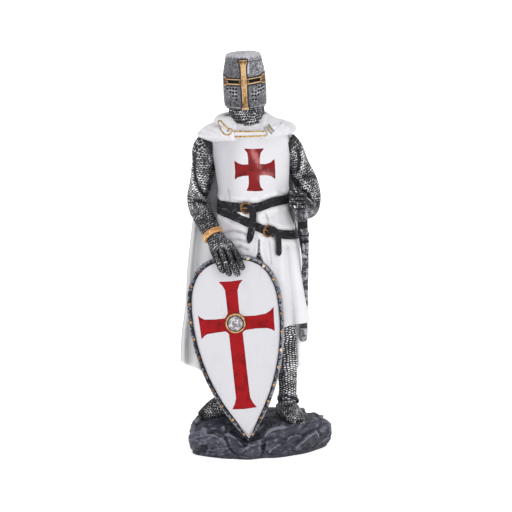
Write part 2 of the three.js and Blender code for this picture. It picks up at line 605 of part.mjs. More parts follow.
function knightSolid() {
  const legSolids = legs.flatMap(({ line, foot }) => [
    limb(line, { sides: 8, steps: 5 }),
    limb(foot, { sides: 8, steps: 5, power: 2.3, across: new THREE.Vector3(0, 0, 1) }),
    ...ankleStraps(line[4]),
  ]);
  return join([
    surcoatSolid(),
    cloakSolid(),
    mantleSolid(),
    limb([[-5.4, 0.4, 148, 10.6, 9.6], [-5.8, 0.2, 156, 10.3, 9.4], [-6.4, -0.6, 162, 9.4, 9.2], [-6.8, -1, 170, 9]],
      { sides: 12, steps: 2, across: new THREE.Vector3(1, 0, 0) }),
    helmWithBars(),
    beltSolid(waistBelt, beltWidth),
    beltSolid(swordBelt, beltWidth),
    buckleSolid(front - radians(16), 115.2),
    buckleSolid(front + radians(28), 103),
    tongueSolid([[front + radians(1), 114.5, 1.5], [front - radians(3), 105.8, 2], [front - radians(11), 96.6, 0.7]], 0.35),
    tongueSolid([[front + radians(36), 102.8, 1.2], [front + radians(43.5), 97, 1.3], [front + radians(43.5), 89.6, 0.7]], 0.9),
    limb(shoulders, { sides: 8, steps: 4 }),
    limb(elbowArm, { sides: 8, steps: 7 }),
    limb(swordArm, { sides: 8, steps: 7 }),
    limb(handStations, { sides: 8, steps: 3, across: new THREE.Vector3(0.35, 1, 1) }),
    ...fingers.map((stations) => limb(stations.map((p) => [...p, 1.75]), { sides: 5, steps: 3 })),
    bandOn(5, [-24.5, -7.1, 100.5], [-23.3, -8.6, 98.6], wristBandWidth, strapThickness),
    ...fistSolids(),
    ...legSolids,
  ]);
}

const statue = new THREE.Group();
const knight = knightSolid()
  .subtract(rockSolid(clearance))
  .subtract(shieldRoom())
  .subtract(swordSolid(clearance));
const shield = shieldSolid().subtract(rockSolid(clearance));
statue.add(meshOf('rock_base', rockSolid(0), 0x4a4d57, 0.7, 0));
statue.add(meshOf('knight', knight, 0xe9e7e2, 0.5, 0));
statue.add(meshOf('kite_shield', shield, 0xf0efec, 0.45, 0));
statue.add(meshOf('sheathed_sword', swordSolid(0).subtract(rockSolid(clearance)), 0x35363a, 0.5, 0.2));

export default statue;
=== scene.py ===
import math
import bpy
import numpy as np
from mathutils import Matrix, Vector


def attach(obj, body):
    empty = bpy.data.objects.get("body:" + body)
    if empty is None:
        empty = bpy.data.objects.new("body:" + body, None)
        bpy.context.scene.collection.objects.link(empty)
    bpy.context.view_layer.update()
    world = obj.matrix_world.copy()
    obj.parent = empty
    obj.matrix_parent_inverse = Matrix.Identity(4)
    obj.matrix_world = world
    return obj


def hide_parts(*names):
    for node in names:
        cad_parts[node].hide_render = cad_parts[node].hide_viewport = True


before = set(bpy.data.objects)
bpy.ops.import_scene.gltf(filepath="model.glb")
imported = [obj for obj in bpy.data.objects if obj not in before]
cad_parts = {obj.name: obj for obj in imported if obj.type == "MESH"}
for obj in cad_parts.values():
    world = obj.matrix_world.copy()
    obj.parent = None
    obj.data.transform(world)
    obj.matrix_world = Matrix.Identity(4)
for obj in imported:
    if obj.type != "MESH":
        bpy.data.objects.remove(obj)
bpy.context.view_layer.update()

# Lengths are millimetres while a shape is worked out, and metres on the meshes.
# The knight faces -Y, its height above the soles is z, and the plinth lifts it.
figure = {"plinthHeight": 17.0, "shieldTip": (-5.0, -20.2, 8.2), "millimetre": 0.001}
front = -math.pi / 2


# Shape helpers

def smoothStep(value, low, high):
    t = np.clip((value - low) / (high - low), 0, 1)
    return t * t * (3 - 2 * t)


def bell(distance, width):
    return np.exp(-(np.asarray(distance) / width) ** 2)


def unit(vectors):
    return vectors / np.linalg.norm(vectors, axis=-1, keepdims=True)


def between(a, b, count):
    return np.linspace(a, b, count)


def anglesOf(count, start=-math.pi):
    return start + (np.arange(count) + 0.5) / count * 2 * math.pi


def turnFrom(angle, middle):  # how far an angle is from another, the short way round
    return (angle - middle + math.pi) % (2 * math.pi) - math.pi


def readTable(rows, at):  # smooth values between the rows of a table whose first column is the height
    table = np.array(rows, float)
    at = np.asarray(at, float)
    low = np.clip(np.searchsorted(table[:, 0], at, side="right") - 1, 0, len(table) - 2)
    before, after = np.maximum(low - 1, 0), np.minimum(low + 2, len(table) - 1)
    a, b, c, d = table[before], table[low], table[low + 1], table[after]
    span = c[..., :1] - b[..., :1]
    t = np.clip((at[..., None] - b[..., :1]) / span, 0, 1)
    slopeIn = np.where((low == before)[..., None], 0, (c - a) / (c[..., :1] - a[..., :1]) * span)
    slopeOut = np.where((after == low + 1)[..., None], 0, (d - b) / (d[..., :1] - b[..., :1]) * span)
    value = ((2 * t ** 3 - 3 * t ** 2 + 1) * b + (t ** 3 - 2 * t ** 2 + t) * slopeIn
             + (3 * t ** 2 - 2 * t ** 3) * c + (t ** 3 - t ** 2) * slopeOut)
    return [value[..., i] for i in range(1, table.shape[1])]


def reach(angle, left, right, near, far, power):  # distance to the edge of a rounded section
    across, along = np.cos(angle), np.sin(angle)
    a, b = np.where(across < 0, left, right), np.where(along < 0, near, far)
    return (np.abs(across / a) ** power + np.abs(along / b) ** power) ** (-1 / power)


def onFigure(x, y, z):
    x, y, z = np.broadcast_arrays(x, y, z)
    return np.stack([x, y, z + figure["plinthHeight"]], -1).astype(float)


def frontView(grid):  # x, and the height above the soles
    return grid[..., 0], grid[..., 2] - figure["plinthHeight"]


def spot(across, up, wide, high):  # a soft oval, from how far each point is from its middle
    return bell(np.hypot(across / wide, up / high), 1.0)


def backed(face, back):  # a face and its back as one closed round of columns
    return np.concatenate([face, back[:, ::-1]], 1)


def scatter(cell, seed):  # three steady random numbers from 0 to 1 for every whole-number cell
    code = cell[..., 0] * 374761393 + cell[..., 1] * 668265263 + cell[..., 2] * 362437 + seed * 974711
    code = code & 0xFFFFFFFF
    numbers = []
    for step in range(3):
        code = ((code ^ (code >> 15)) * (1274126177 + 2 * step)) & 0xFFFFFFFF
        numbers.append(((code ^ (code >> 13)) & 0xFFFF) / 65535)
    return np.stack(numbers, -1)


def cellsOf(points, size, seed):  # places counted in cells, away from those of the other seeds, and the cells
    place = np.asarray(points, float) / size + 31.7 * seed
    return place, np.floor(place).astype(np.int64)


def lumps(points, size, seed=1):  # soft noise from -1 to 1
    place, cell = cellsOf(points, size, seed)
    part = place - cell
    part = part * part * (3 - 2 * part)
    total = 0
    for corner in range(8):
        step = np.array([corner & 1, corner >> 1 & 1, corner >> 2 & 1])
        level = 2 * scatter(cell + step, seed)[..., 0] - 1
        total = total + level * np.prod(np.where(step, part, 1 - part), -1)
    return total


def nearCells(points, size, seed):  # each cell around a point, the square of its distance and its tilt there
    place, cell = cellsOf(points, size, seed)
    for step in np.ndindex(3, 3, 3):
        key = cell + np.array(step) - 1
        away = place - key - scatter(key, seed)
        yield key, (away ** 2).sum(-1), (away * (2 * scatter(key, seed + 5) - 1)).sum(-1)


def chips(points, size, seed=1):  # tilted facets, and the distance from the cracks between them
    best = np.full(np.shape(points)[:-1], 9.0)
    second, height = best, 0 * best
    for key, gap, tilt in nearCells(points, size, seed):
        nearer = gap < best
        second = np.where(nearer, best, np.minimum(second, gap))
        height = np.where(nearer, tilt, height)
        best = np.where(nearer, gap, best)
    return height * size, (np.sqrt(second) - np.sqrt(best)) * size


def scoops(points, size, seed=1):  # hollows side by side with sharp ridges between them, about -0.5 to 0.5
    level = np.full(np.shape(points)[:-1], 9.0)
    for key, gap, tilt in nearCells(points, size, seed):
        level = np.minimum(level, gap + 0.4 * scatter(key, seed + 9)[..., 0] + 0.5 * tilt)
    return level - 0.42


def lineGap(stations, x, z):  # distance from an open line of points
    nearest = np.full(np.shape(x), 1e9)
    for (ax, az), (bx, bz) in zip(stations, stations[1:]):
        dx, dz = bx - ax, bz - az
        t = np.clip(((x - ax) * dx + (z - az) * dz) / (dx * dx + dz * dz), 0, 1)
        nearest = np.minimum(nearest, np.hypot(x - ax - t * dx, z - az - t * dz))
    return nearest


def insideBy(corners, x, z):  # distance inside a closed outline, less than 0 outside it
    loop = [*corners, corners[0]]
    inside = np.zeros(np.shape(x), bool)
    for (ax, az), (bx, bz) in zip(loop, loop[1:]):
        if az != bz:
            inside ^= ((az > z) != (bz > z)) & (x < (bx - ax) * (z - az) / (bz - az) + ax)
    return np.where(inside, 1, -1) * lineGap(loop, x, z)


def facing(grid, across=True, along=False):  # the outward direction at every point of a grid
    def slope(axis, closed):
        if closed:
            return np.roll(grid, -1, axis) - np.roll(grid, 1, axis)
        return np.gradient(grid, axis=axis)
    normal = np.cross(slope(1, across), slope(0, along))
    normal /= np.linalg.norm(normal, axis=-1, keepdims=True) + 1e-9
    away = grid - grid.mean((0, 1))
    return normal * (1 if (normal * away).sum() > 0 else -1)


def pushed(grid, rise, across=True, along=False):  # every point moved outward by its rise
    return grid + facing(grid, across, along) * np.asarray(rise)[..., None]


def hollowOf(grid, cells=2, across=True, along=False):  # over 0 in a dip and under 0 on a ridge, in mm
    soft = grid
    for axis, closed in ((0, along), (1, across)):
        total = 0
        for step in range(-cells, cells + 1):
            if closed:
                total = total + np.roll(soft, step, axis)
            else:
                pick = np.clip(np.arange(soft.shape[axis]) + step, 0, soft.shape[axis] - 1)
                total = total + np.take(soft, pick, axis)
        soft = total / (2 * cells + 1)
    return ((soft - grid) * facing(grid, across, along)).sum(-1)


class Shell:  # grids of points gathered into one mesh
    def __init__(self):
        self.points, self.corners, self.sizes, self.marks, self.total = [], [], [], [], 0

    def add(self, grid, across=True, along=False, ends=("fan", "fan"), **marks):
        rows, columns = grid.shape[:2]
        index = np.arange(rows * columns).reshape(rows, columns)
        sheet = np.vstack([index, index[:1]]) if along else index
        sheet = np.hstack([sheet, sheet[:, :1]]) if across else sheet
        sides = [sheet[:-1, :-1], sheet[:-1, 1:], sheet[1:, 1:], sheet[1:, :-1]]
        fours = [np.stack(sides, -1).reshape(-1, 4)]
        threes, points = [], [grid.reshape(-1, 3)]
        values = {name: [np.broadcast_to(value, (rows, columns)).ravel()] for name, value in marks.items()}
        for kind, line, turned in ((ends[0], index[0], True), (ends[1], index[-1], False)):
            if kind == "fan":
                middle = rows * columns + len(points) - 1
                points.append(points[0][line].mean(0, keepdims=True))
                for value in values.values():
                    value.append(value[0][line].mean(keepdims=True))
                fan = np.stack([line, np.roll(line, -1), np.full(columns, middle)], -1)
                threes.append(fan[:, ::-1] if turned else fan)
            elif kind == "strip":
                outer, inner = line[:columns // 2], line[::-1][:columns // 2]
                cap = np.stack([outer[:-1], outer[1:], inner[1:], inner[:-1]], -1)
                fours.append(cap[:, ::-1] if turned else cap)
        points = np.concatenate(points)
        fours = np.concatenate(fours)
        threes = np.concatenate(threes) if threes else np.zeros((0, 3), int)
        centred = points - points.mean(0)
        a, b, c, d = (centred[fours[:, i]] for i in range(4))
        volume = (a * np.cross(b, c)).sum() + (a * np.cross(c, d)).sum()
        if len(threes):
            volume += (centred[threes[:, 0]] * np.cross(centred[threes[:, 1]], centred[threes[:, 2]])).sum()
        if volume < 0:
            fours, threes = fours[:, ::-1], threes[:, ::-1]
        self.points.append(points)
        self.corners += [(fours + self.total).ravel(), (threes + self.total).ravel()]
        self.sizes += [np.full(len(fours), 4), np.full(len(threes), 3)]
        self.marks.append({name: np.concatenate(value) for name, value in values.items()})
        self.total += len(points)
        return self

    def finish(self, name, node, look):
        corners, sizes = np.concatenate(self.corners), np.concatenate(self.sizes)
        mesh = bpy.data.meshes.new(name)
        mesh.vertices.add(self.total)
        mesh.vertices.foreach_set("co", (np.concatenate(self.points) * figure["millimetre"]).ravel())
        mesh.loops.add(len(corners))
        mesh.loops.foreach_set("vertex_index", corners.astype(np.int32))
        mesh.polygons.add(len(sizes))
        mesh.polygons.foreach_set("loop_start", (np.cumsum(sizes) - sizes).astype(np.int32))
        mesh.polygons.foreach_set("use_smooth", np.ones(len(sizes), bool))
        mesh.update(calc_edges=True)
        mesh.validate()
        for mark in sorted({key for marks in self.marks for key in marks}):
            values = [marks.get(mark, np.zeros(len(points)))
                      for marks, points in zip(self.marks, self.points)]
            made = mesh.attributes.new(mark, "FLOAT", "POINT")
            made.data.foreach_set("value", np.concatenate(values).astype(np.float32))
        piece = bpy.data.objects.new(name, mesh)
        bpy.context.collection.objects.link(piece)
        mesh.materials.append(finishes[look])
        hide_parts(node)
        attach(piece, "root")
        print(f"{name}: {int((sizes - 2).sum())} triangles")


def curvePoints(stations, at):  # a smooth line through the stations, read at shares from 0 to 1
    stations = np.array(stations, float)
    padded = np.vstack([2 * stations[0] - stations[1], stations, 2 * stations[-1] - stations[-2]])
    place = np.clip(np.asarray(at, float), 0, 1) * (len(stations) - 1)
    low = np.clip(place.astype(int), 0, len(stations) - 2)
    t = (place - low)[:, None]
    p0, p1, p2, p3 = (padded[low + i] for i in range(4))
    d0, d1, d2 = (np.maximum(np.linalg.norm(b - a, axis=1, keepdims=True) ** 0.5, 1e-4)
                  for a, b in ((p0, p1), (p1, p2), (p2, p3)))
    m1 = ((p1 - p0) / d0 - (p2 - p0) / (d0 + d1) + (p2 - p1) / d1) * d1
    m2 = ((p2 - p1) / d1 - (p3 - p1) / (d1 + d2) + (p3 - p2) / d2) * d1
    return p1 + m1 * t + (3 * (p2 - p1) - 2 * m1 - m2) * t ** 2 + (2 * (p1 - p2) + m1 + m2) * t ** 3


def limbGrid(stations, sides, rows, side=(1, 0, 0), power=2.0, start=0.0):
    # A section carried along a line. Each station is x, y, z, half width and half depth.
    stations = [list(s) + [s[3]] * (5 - len(s)) for s in stations]
    at = between(start, 1, rows)
    line = curvePoints([s[:3] for s in stations], at)
    tangent = unit(np.gradient(line, axis=0))
    outward = unit(np.cross(tangent, np.array(side, float)))
    sideways = np.cross(outward, tangent)
    wide, deep = readTable([[i / (len(stations) - 1), s[3], s[4]] for i, s in enumerate(stations)], at)
    angle = anglesOf(sides)
    distance = reach(angle[None, :], wide[:, None], wide[:, None], deep[:, None], deep[:, None], power)
    grid = (line[:, None] + (distance * np.cos(angle))[..., None] * sideways[:, None]
            + (distance * np.sin(angle))[..., None] * outward[:, None])
    length = np.concatenate([[0], np.cumsum(np.linalg.norm(np.diff(line, axis=0), axis=1))])
    grid[..., 2] += figure["plinthHeight"]
    return grid, angle, length


# Finishes

class Wire:  # a socket that takes part in sums
    def __init__(self, paint, socket):
        self.paint, self.socket = paint, socket

    def maths(self, operation, first, second):
        return self.paint.node("ShaderNodeMath", {"operation": operation}, {0: first, 1: second})

    def __add__(self, other):
        return self.maths("ADD", self, other)

    def __radd__(self, other):
        return self.maths("ADD", other, self)

    def __sub__(self, other):
        return self.maths("SUBTRACT", self, other)

    def __rsub__(self, other):
        return self.maths("SUBTRACT", other, self)

    def __mul__(self, other):
        return self.maths("MULTIPLY", self, other)

    def __rmul__(self, other):
        return self.maths("MULTIPLY", other, self)


class Paint:  # one painted finish and its nodes
    def __init__(self, name, **values):
        self.material = bpy.data.materials.new(name)
        self.material.use_nodes = True
        self.tree = self.material.node_tree
        self.shader = self.tree.nodes["Principled BSDF"]
        for socket, value in values.items():
            self.shader.inputs[socket.replace("_", " ")].default_value = value

    def node(self, kind, settings=None, sockets=None, output=0):
        made = self.tree.nodes.new(kind)
        for name, value in (settings or {}).items():
            setattr(made, name, value)
        for key, value in (sockets or {}).items():
            if isinstance(value, Wire):
                self.tree.links.new(value.socket, made.inputs[key])
            else:
                made.inputs[key].default_value = value
        return Wire(self, made.outputs[output])

    def feed(self, socket, value):
        self.tree.links.new(value.socket, self.shader.inputs[socket])

    def mark(self, name):
        return self.node("ShaderNodeAttribute", {"attribute_name": name}, output="Fac")

    def place(self, stretch=(1, 1, 1)):
        spot = self.node("ShaderNodeTexCoord", output="Object")
        return self.node("ShaderNodeMapping", {}, {"Vector": spot, "Scale": stretch})

    def noise(self, size, detail=3.0, rough=0.55, stretch=(1, 1, 1)):
        return self.node("ShaderNodeTexNoise", {}, {"Vector": self.place(stretch), "Scale": 1000 / size,
                                                   "Detail": detail, "Roughness": rough})

    def grains(self, size):
        sockets = {"Vector": self.place(), "Scale": 1000 / size}
        return self.node("ShaderNodeTexVoronoi", {}, sockets, "Distance")

    def rise(self, value, low, high):  # 0 below the low value, 1 above the high one
        return self.node("ShaderNodeMapRange", {"interpolation_type": "SMOOTHSTEP"},
                         {"Value": value, "From Min": low, "From Max": high})

    def mix(self, share, first, second):
        first, second = (value if isinstance(value, Wire) else (*value, 1) for value in (first, second))
        return self.node("ShaderNodeMix", {"data_type": "RGBA"}, {0: share, 6: first, 7: second}, 2)

    def bump(self, height, strength, depth):
        bumped = self.node("ShaderNodeBump", {}, {"Height": height, "Strength": strength, "Distance": depth})
        self.feed("Normal", bumped)


noCross = -3.0  # the value of the cross mark far outside its outline
whiteCoat = {"washAndShading": (0.25, 0.24, 0.27), "edge": (0.68, 0.68, 0.70), "pale": (0.92, 0.92, 0.92),
             "gold": (0.52, 0.33, 0.10), "goldWash": (0.20, 0.11, 0.035), "steel": (0.15, 0.145, 0.15),
             "redShine": (0.50, 0.15, 0.15), "inFolds": 0.72, "onEdges": 0.6, "stains": 0.14, "grain": 0.22,
             "planks": 0.6}


def whitePaint(name, dip, red, specular, streaks=False, white=(0.575, 0.568, 0.592)):
    # A white coat with a dark wash in its folds. The dip is the depth in mm that the wash begins to fill.
    paint = Paint(name, Roughness=0.5, Coat_Roughness=0.2, Specular_IOR_Level=specular)
    coat = whiteCoat
    redWash, redEdge = (tuple(v * share for v in red) for share in (0.55, 1.3))
    hollow, brush = paint.mark("hollow"), paint.noise(3.2, 4)
    fold = paint.rise(hollow + (brush - 0.5) * dip * 0.9, dip * 0.35, dip * 2.6)
    colour = paint.mix(fold * coat["inFolds"], white, coat["washAndShading"])
    colour = paint.mix(paint.rise(0 - hollow, dip * 0.4, dip * 1.6) * coat["onEdges"], colour, coat["edge"])
    stain = paint.rise(paint.noise(14, 5, 0.6), 0.50, 0.78)
    colour = paint.mix(stain * coat["stains"], colour, coat["washAndShading"])
    # Painted shade where the shade mark is, then painted light where the pale mark whitens cloth that lies in
    # shadow
    colour = paint.mix(paint.mark("shade"), colour, coat["washAndShading"])
    colour = paint.mix(paint.mark("pale"), colour, coat["pale"])
    if streaks:
        grain = paint.noise(1.5, 5, 0.65, (1, 1, 0.07))
        colour = paint.mix(paint.rise(grain, 0.60, 0.80) * coat["grain"], colour, coat["washAndShading"])
        colour = paint.mix(paint.mark("planks") * coat["planks"], colour, coat["washAndShading"])
    cross = paint.mark("cross")
    inCross = paint.rise(cross + (paint.noise(0.9, 2) - 0.5) * 0.16, -0.08, 0.08)
    redShade = paint.mix(paint.rise(paint.noise(5, 4, 0.6), 0.42, 0.72), red, redWash)
    redShade = paint.mix(paint.rise(0 - cross, -0.7, -0.1) * 0.6, redShade, redWash)
    redShade = paint.mix(paint.rise(paint.noise(1.6, 3), 0.60, 0.80) * 0.5, redShade, redEdge)
    # A painted highlight on the red cross where the gloss mark is
    shine = paint.rise(paint.mark("gloss") + (paint.noise(2.2, 4) - 0.5) * 1.2, 0.25, 1.0)
    redShade = paint.mix(shine * 0.6, redShade, coat["redShine"])
    colour = paint.mix(inCross, colour, redShade)
    gilt = paint.rise(paint.mark("gilt"), 0.35, 0.65)
    twist = paint.rise(paint.noise(0.9, 2), 0.40, 0.62)
    colour = paint.mix(gilt, colour, paint.mix(twist, coat["gold"], coat["goldWash"]))
    dark = paint.rise(paint.mark("dark"), 0.25, 0.8)
    colour = paint.mix(dark, colour, coat["steel"])
    paint.feed("Base Color", colour)
    paint.feed("Roughness", 0.52 - inCross * 0.16 - gilt * 0.12 + (brush - 0.5) * 0.12)
    paint.feed("Metallic", gilt * 0.4)
    paint.feed("Coat Weight", inCross * paint.mark("gloss"))
    paint.bump(paint.noise(0.55, 3) * 0.5 + paint.noise(2.2, 3, 0.6, (1, 1, 0.35)), 0.22, 0.00022)
    return paint.material


mailCoat = {"black": (0.004, 0.004, 0.005), "iron": (0.030, 0.030, 0.034), "silver": (0.34, 0.34, 0.36),
            "wornAndShading": (0.93, 0.93, 0.95)}


def mailPaint(name):  # black in the links, silver brushed over them
    paint = Paint(name, Specular_IOR_Level=0.3)
    patch, speck = paint.noise(3.2, 3, 0.6), paint.noise(1.1, 3, 0.6)
    level = paint.mark("raised") * 1.1 + paint.mark("tone") + (patch - 0.5) * 0.7 + (speck - 0.5) * 1.5
    colour = paint.mix(paint.rise(level, 0.35, 0.75), mailCoat["black"], mailCoat["iron"])
    silver = paint.rise(level, 0.66, 0.98)
    colour = paint.mix(silver, colour, mailCoat["silver"])
    colour = paint.mix(paint.rise(level, 0.96, 1.22), colour, mailCoat["wornAndShading"])
    paint.feed("Base Color", colour)
    paint.feed("Metallic", silver * 0.2)
    paint.feed("Roughness", 0.55 - silver * 0.15)
    paint.bump(speck, 0.25, 0.0001)
    return paint.material


# Brushed colours: in the dips, on the flat and on the edges.
goldColours = ((0.075, 0.028, 0.010), (0.27, 0.145, 0.055), (0.66, 0.45, 0.23))
slitBlack = (0.004, 0.004, 0.004)


def brushedPaint(name, colours, dip, size, metal=0.3, cover=0.5, grimeAndShading=0.4, shine=0.3):
    # A dark ground, the worn body colour and a bright dry brush; cover and grime are shares of the surface.
    paint = Paint(name, Specular_IOR_Level=shine)
    dark, body, bright = colours
    patch, speck = paint.noise(size, 4, 0.6), paint.noise(size * 0.33, 3)
    # The hollow mark of the helm and the rim holds painted light and shade, so this level carries them too
    wornAndShading = (patch - 0.5) * 3.0 + (speck - 0.5) * 2.6 - paint.mark("hollow") * (1 / dip)
    low = paint.rise(0 - wornAndShading, 0.8 - 2 * grimeAndShading, 1.8 - 2 * grimeAndShading)
    high = paint.rise(wornAndShading, 0.8 - 2 * cover, 1.8 - 2 * cover)
    colour = paint.mix(high, paint.mix(low, body, dark), bright)
    black = paint.rise(paint.mark("dark"), 0.25, 0.75)
    gilt = paint.rise(paint.mark("gilt") + (speck - 0.5) * 0.25, 0.3, 0.7)
    gold = paint.mix(paint.rise(0 - wornAndShading, -0.8, 0.7), goldColours[1], goldColours[0])
    gold = paint.mix(paint.rise(wornAndShading, 0.4, 1.5) * 0.8, gold, goldColours[2])
    colour = paint.mix(black, paint.mix(gilt, colour, gold), slitBlack)
    paint.feed("Base Color", colour)
    paint.feed("Metallic", (high * 0.2 + metal) * (1 - low) * (1 - black))
    paint.feed("Roughness", 0.50 - high * 0.12 + low * 0.14 + black * 0.2)
    paint.bump(speck * 0.6 + paint.grains(size * 0.35), 0.3, 0.00025)
    return paint.material


rockColours = {"blue": (0.026, 0.027, 0.039), "grey": (0.046, 0.047, 0.063), "brushedAndLit": (0.165, 0.168, 0.215),
               "dip": (0.008, 0.008, 0.015), "crack": (0.006, 0.006, 0.010)}


def rockPaint():
    paint = Paint("rockPaint", Specular_IOR_Level=0.3)
    patch, speck = paint.noise(7, 5, 0.62), paint.noise(1.3, 4, 0.65, (1, 1, 1.6))
    # With the rock's hollow mark this level holds painted light and shade: faces that look up are brushed
    # lighter and steep faces go to the dip colour
    wornAndShading = (patch - 0.5) * 1.8 + (speck - 0.5) * 3.4 - paint.mark("hollow") * 5.5 - 0.15
    colour = paint.mix(paint.rise(patch, 0.35, 0.65), rockColours["blue"], rockColours["grey"])
    colour = paint.mix(paint.rise(wornAndShading, 0.1, 1.7) * 0.75, colour, rockColours["brushedAndLit"])
    colour = paint.mix(paint.rise(0 - wornAndShading, 0.1, 1.2) * 0.85, colour, rockColours["dip"])
    colour = paint.mix(paint.mark("crack") * 0.9, colour, rockColours["crack"])
    paint.feed("Base Color", colour)
    paint.feed("Roughness", 0.66 - paint.rise(wornAndShading, 0, 1) * 0.16)
    paint.bump(speck + paint.noise(2.4, 4) * 0.8, 0.45, 0.0003)
    return paint.material


finishes = {
    "cloth": whitePaint("whiteClothPaint", 0.10, (0.19, 0.003, 0.004), 0.15),
    "shield": whitePaint("whiteShieldPaint", 0.05, (0.275, 0.005, 0.008), 0.08, streaks=True,
                         white=(0.53, 0.523, 0.553)),
    "mail": mailPaint("mailPaint"),
    "steel": brushedPaint("helmPaint", ((0.018, 0.018, 0.024), (0.10, 0.10, 0.112), (0.40, 0.40, 0.43)),
                          0.06, 1.7, metal=0.25, cover=0.34, grimeAndShading=0.44, shine=0.35),
    "dome": brushedPaint("bossPaint", ((0.03, 0.03, 0.035), (0.18, 0.17, 0.185), (0.68, 0.67, 0.70)), 0.08,
                         2.4, metal=0.1, cover=0.36, grimeAndShading=0.42, shine=0.4),
    "rim": brushedPaint("rimPaint", ((0.002, 0.002, 0.004), (0.018, 0.019, 0.026), (0.24, 0.245, 0.28)),
                        0.07, 2.2, metal=0.0, cover=0.16, grimeAndShading=0.38, shine=0.12),
    "leather": brushedPaint("blackLeatherPaint",
                            ((0.003, 0.003, 0.004), (0.009, 0.009, 0.012), (0.13, 0.125, 0.145)), 0.05, 2.4,
                            metal=0.0, cover=0.2, grimeAndShading=0.3, shine=0.15),
    "rivet": brushedPaint("rivetPaint", ((0.13, 0.05, 0.02), (0.38, 0.23, 0.10), (0.75, 0.62, 0.38)), 0.08,
                          9.0, metal=0.15, cover=0.45, grimeAndShading=0.35),
    "gold": brushedPaint("goldPaint", goldColours, 0.06, 1.8, metal=0.25, cover=0.4, grimeAndShading=0.35),
    "band": brushedPaint("wristBandPaint", ((0.10, 0.04, 0.012), (0.42, 0.20, 0.07), (0.80, 0.52, 0.24)),
                         0.06, 1.8, metal=0.2, cover=0.4, grimeAndShading=0.35),
    "scabbard": brushedPaint("scabbardPaint",
                             ((0.005, 0.005, 0.007), (0.035, 0.035, 0.042), (0.36, 0.36, 0.39)), 0.07, 2.4,
                             metal=0.1, cover=0.35, grimeAndShading=0.3, shine=0.2),
    "rock": rockPaint(),
}
print("finishes made")


# Rock plinth: a chiselled boulder with a seat in front for the shield's tip

# The side gives level and width, each cleft its angle, lean and share of the depth, each foot x, y and reach.
rock = {"length": 76.0, "depth": 49.0, "middle": (-1.0, -2.7), "skew": 0.13,
        "around": 340, "sideRows": 60, "topRows": 50,
        "side": [[0, 0.94], [0.16, 0.985], [0.4, 1.0], [0.66, 0.985], [0.86, 0.95], [1.0, 0.90]],
        "clefts": [(-83, 0.01, 1.0), (-124, -0.07, 0.8), (20, 0.06, 0.5), (78, 0.05, 0.9), (128, -0.05, 0.7),
                   (188, -0.04, 0.6)],
        "cleftDepth": 1.7, "swell": 0.8, "facets": 0.30, "scoops": 0.4, "sink": 0.35,
        "feet": [(-21.5, 0.5, 9.5), (17.5, -6, 9.5)], "tipReach": 5.0}


def rockTop(x, y):
    mx, my = rock["middle"]
    tipX, _, tipHeight = figure["shieldTip"]
    spread = ((x - mx) / (rock["length"] / 2)) ** 2 + ((y - my) / (rock["depth"] / 2)) ** 2
    ripples = 0.7 * np.sin(0.31 * x + 1) * np.cos(0.37 * y) + 0.5 * np.sin(0.63 * x - 0.41 * y)
    seat = (figure["plinthHeight"] - tipHeight + 0.6) * smoothStep(-y, 9, 17) * bell(x - tipX, 9.5)
    return figure["plinthHeight"] + 0.4 - 2.4 * spread ** 2 + ripples * spread - seat


def rockSpot(angle, share):
    mx, my = rock["middle"]
    wide, deep = rock["length"] / 2, rock["depth"] / 2
    rough = 0.015 * np.sin(3 * angle + 1) + 0.018 * np.sin(7 * angle + 2) + 0.014 * np.cos(11 * angle)
    edge = share * (1 + rough) * reach(angle, wide, wide, deep, deep, 2.05)
    return mx + edge * np.cos(angle), my + edge * np.sin(angle) + rock["skew"] * edge * np.cos(angle)


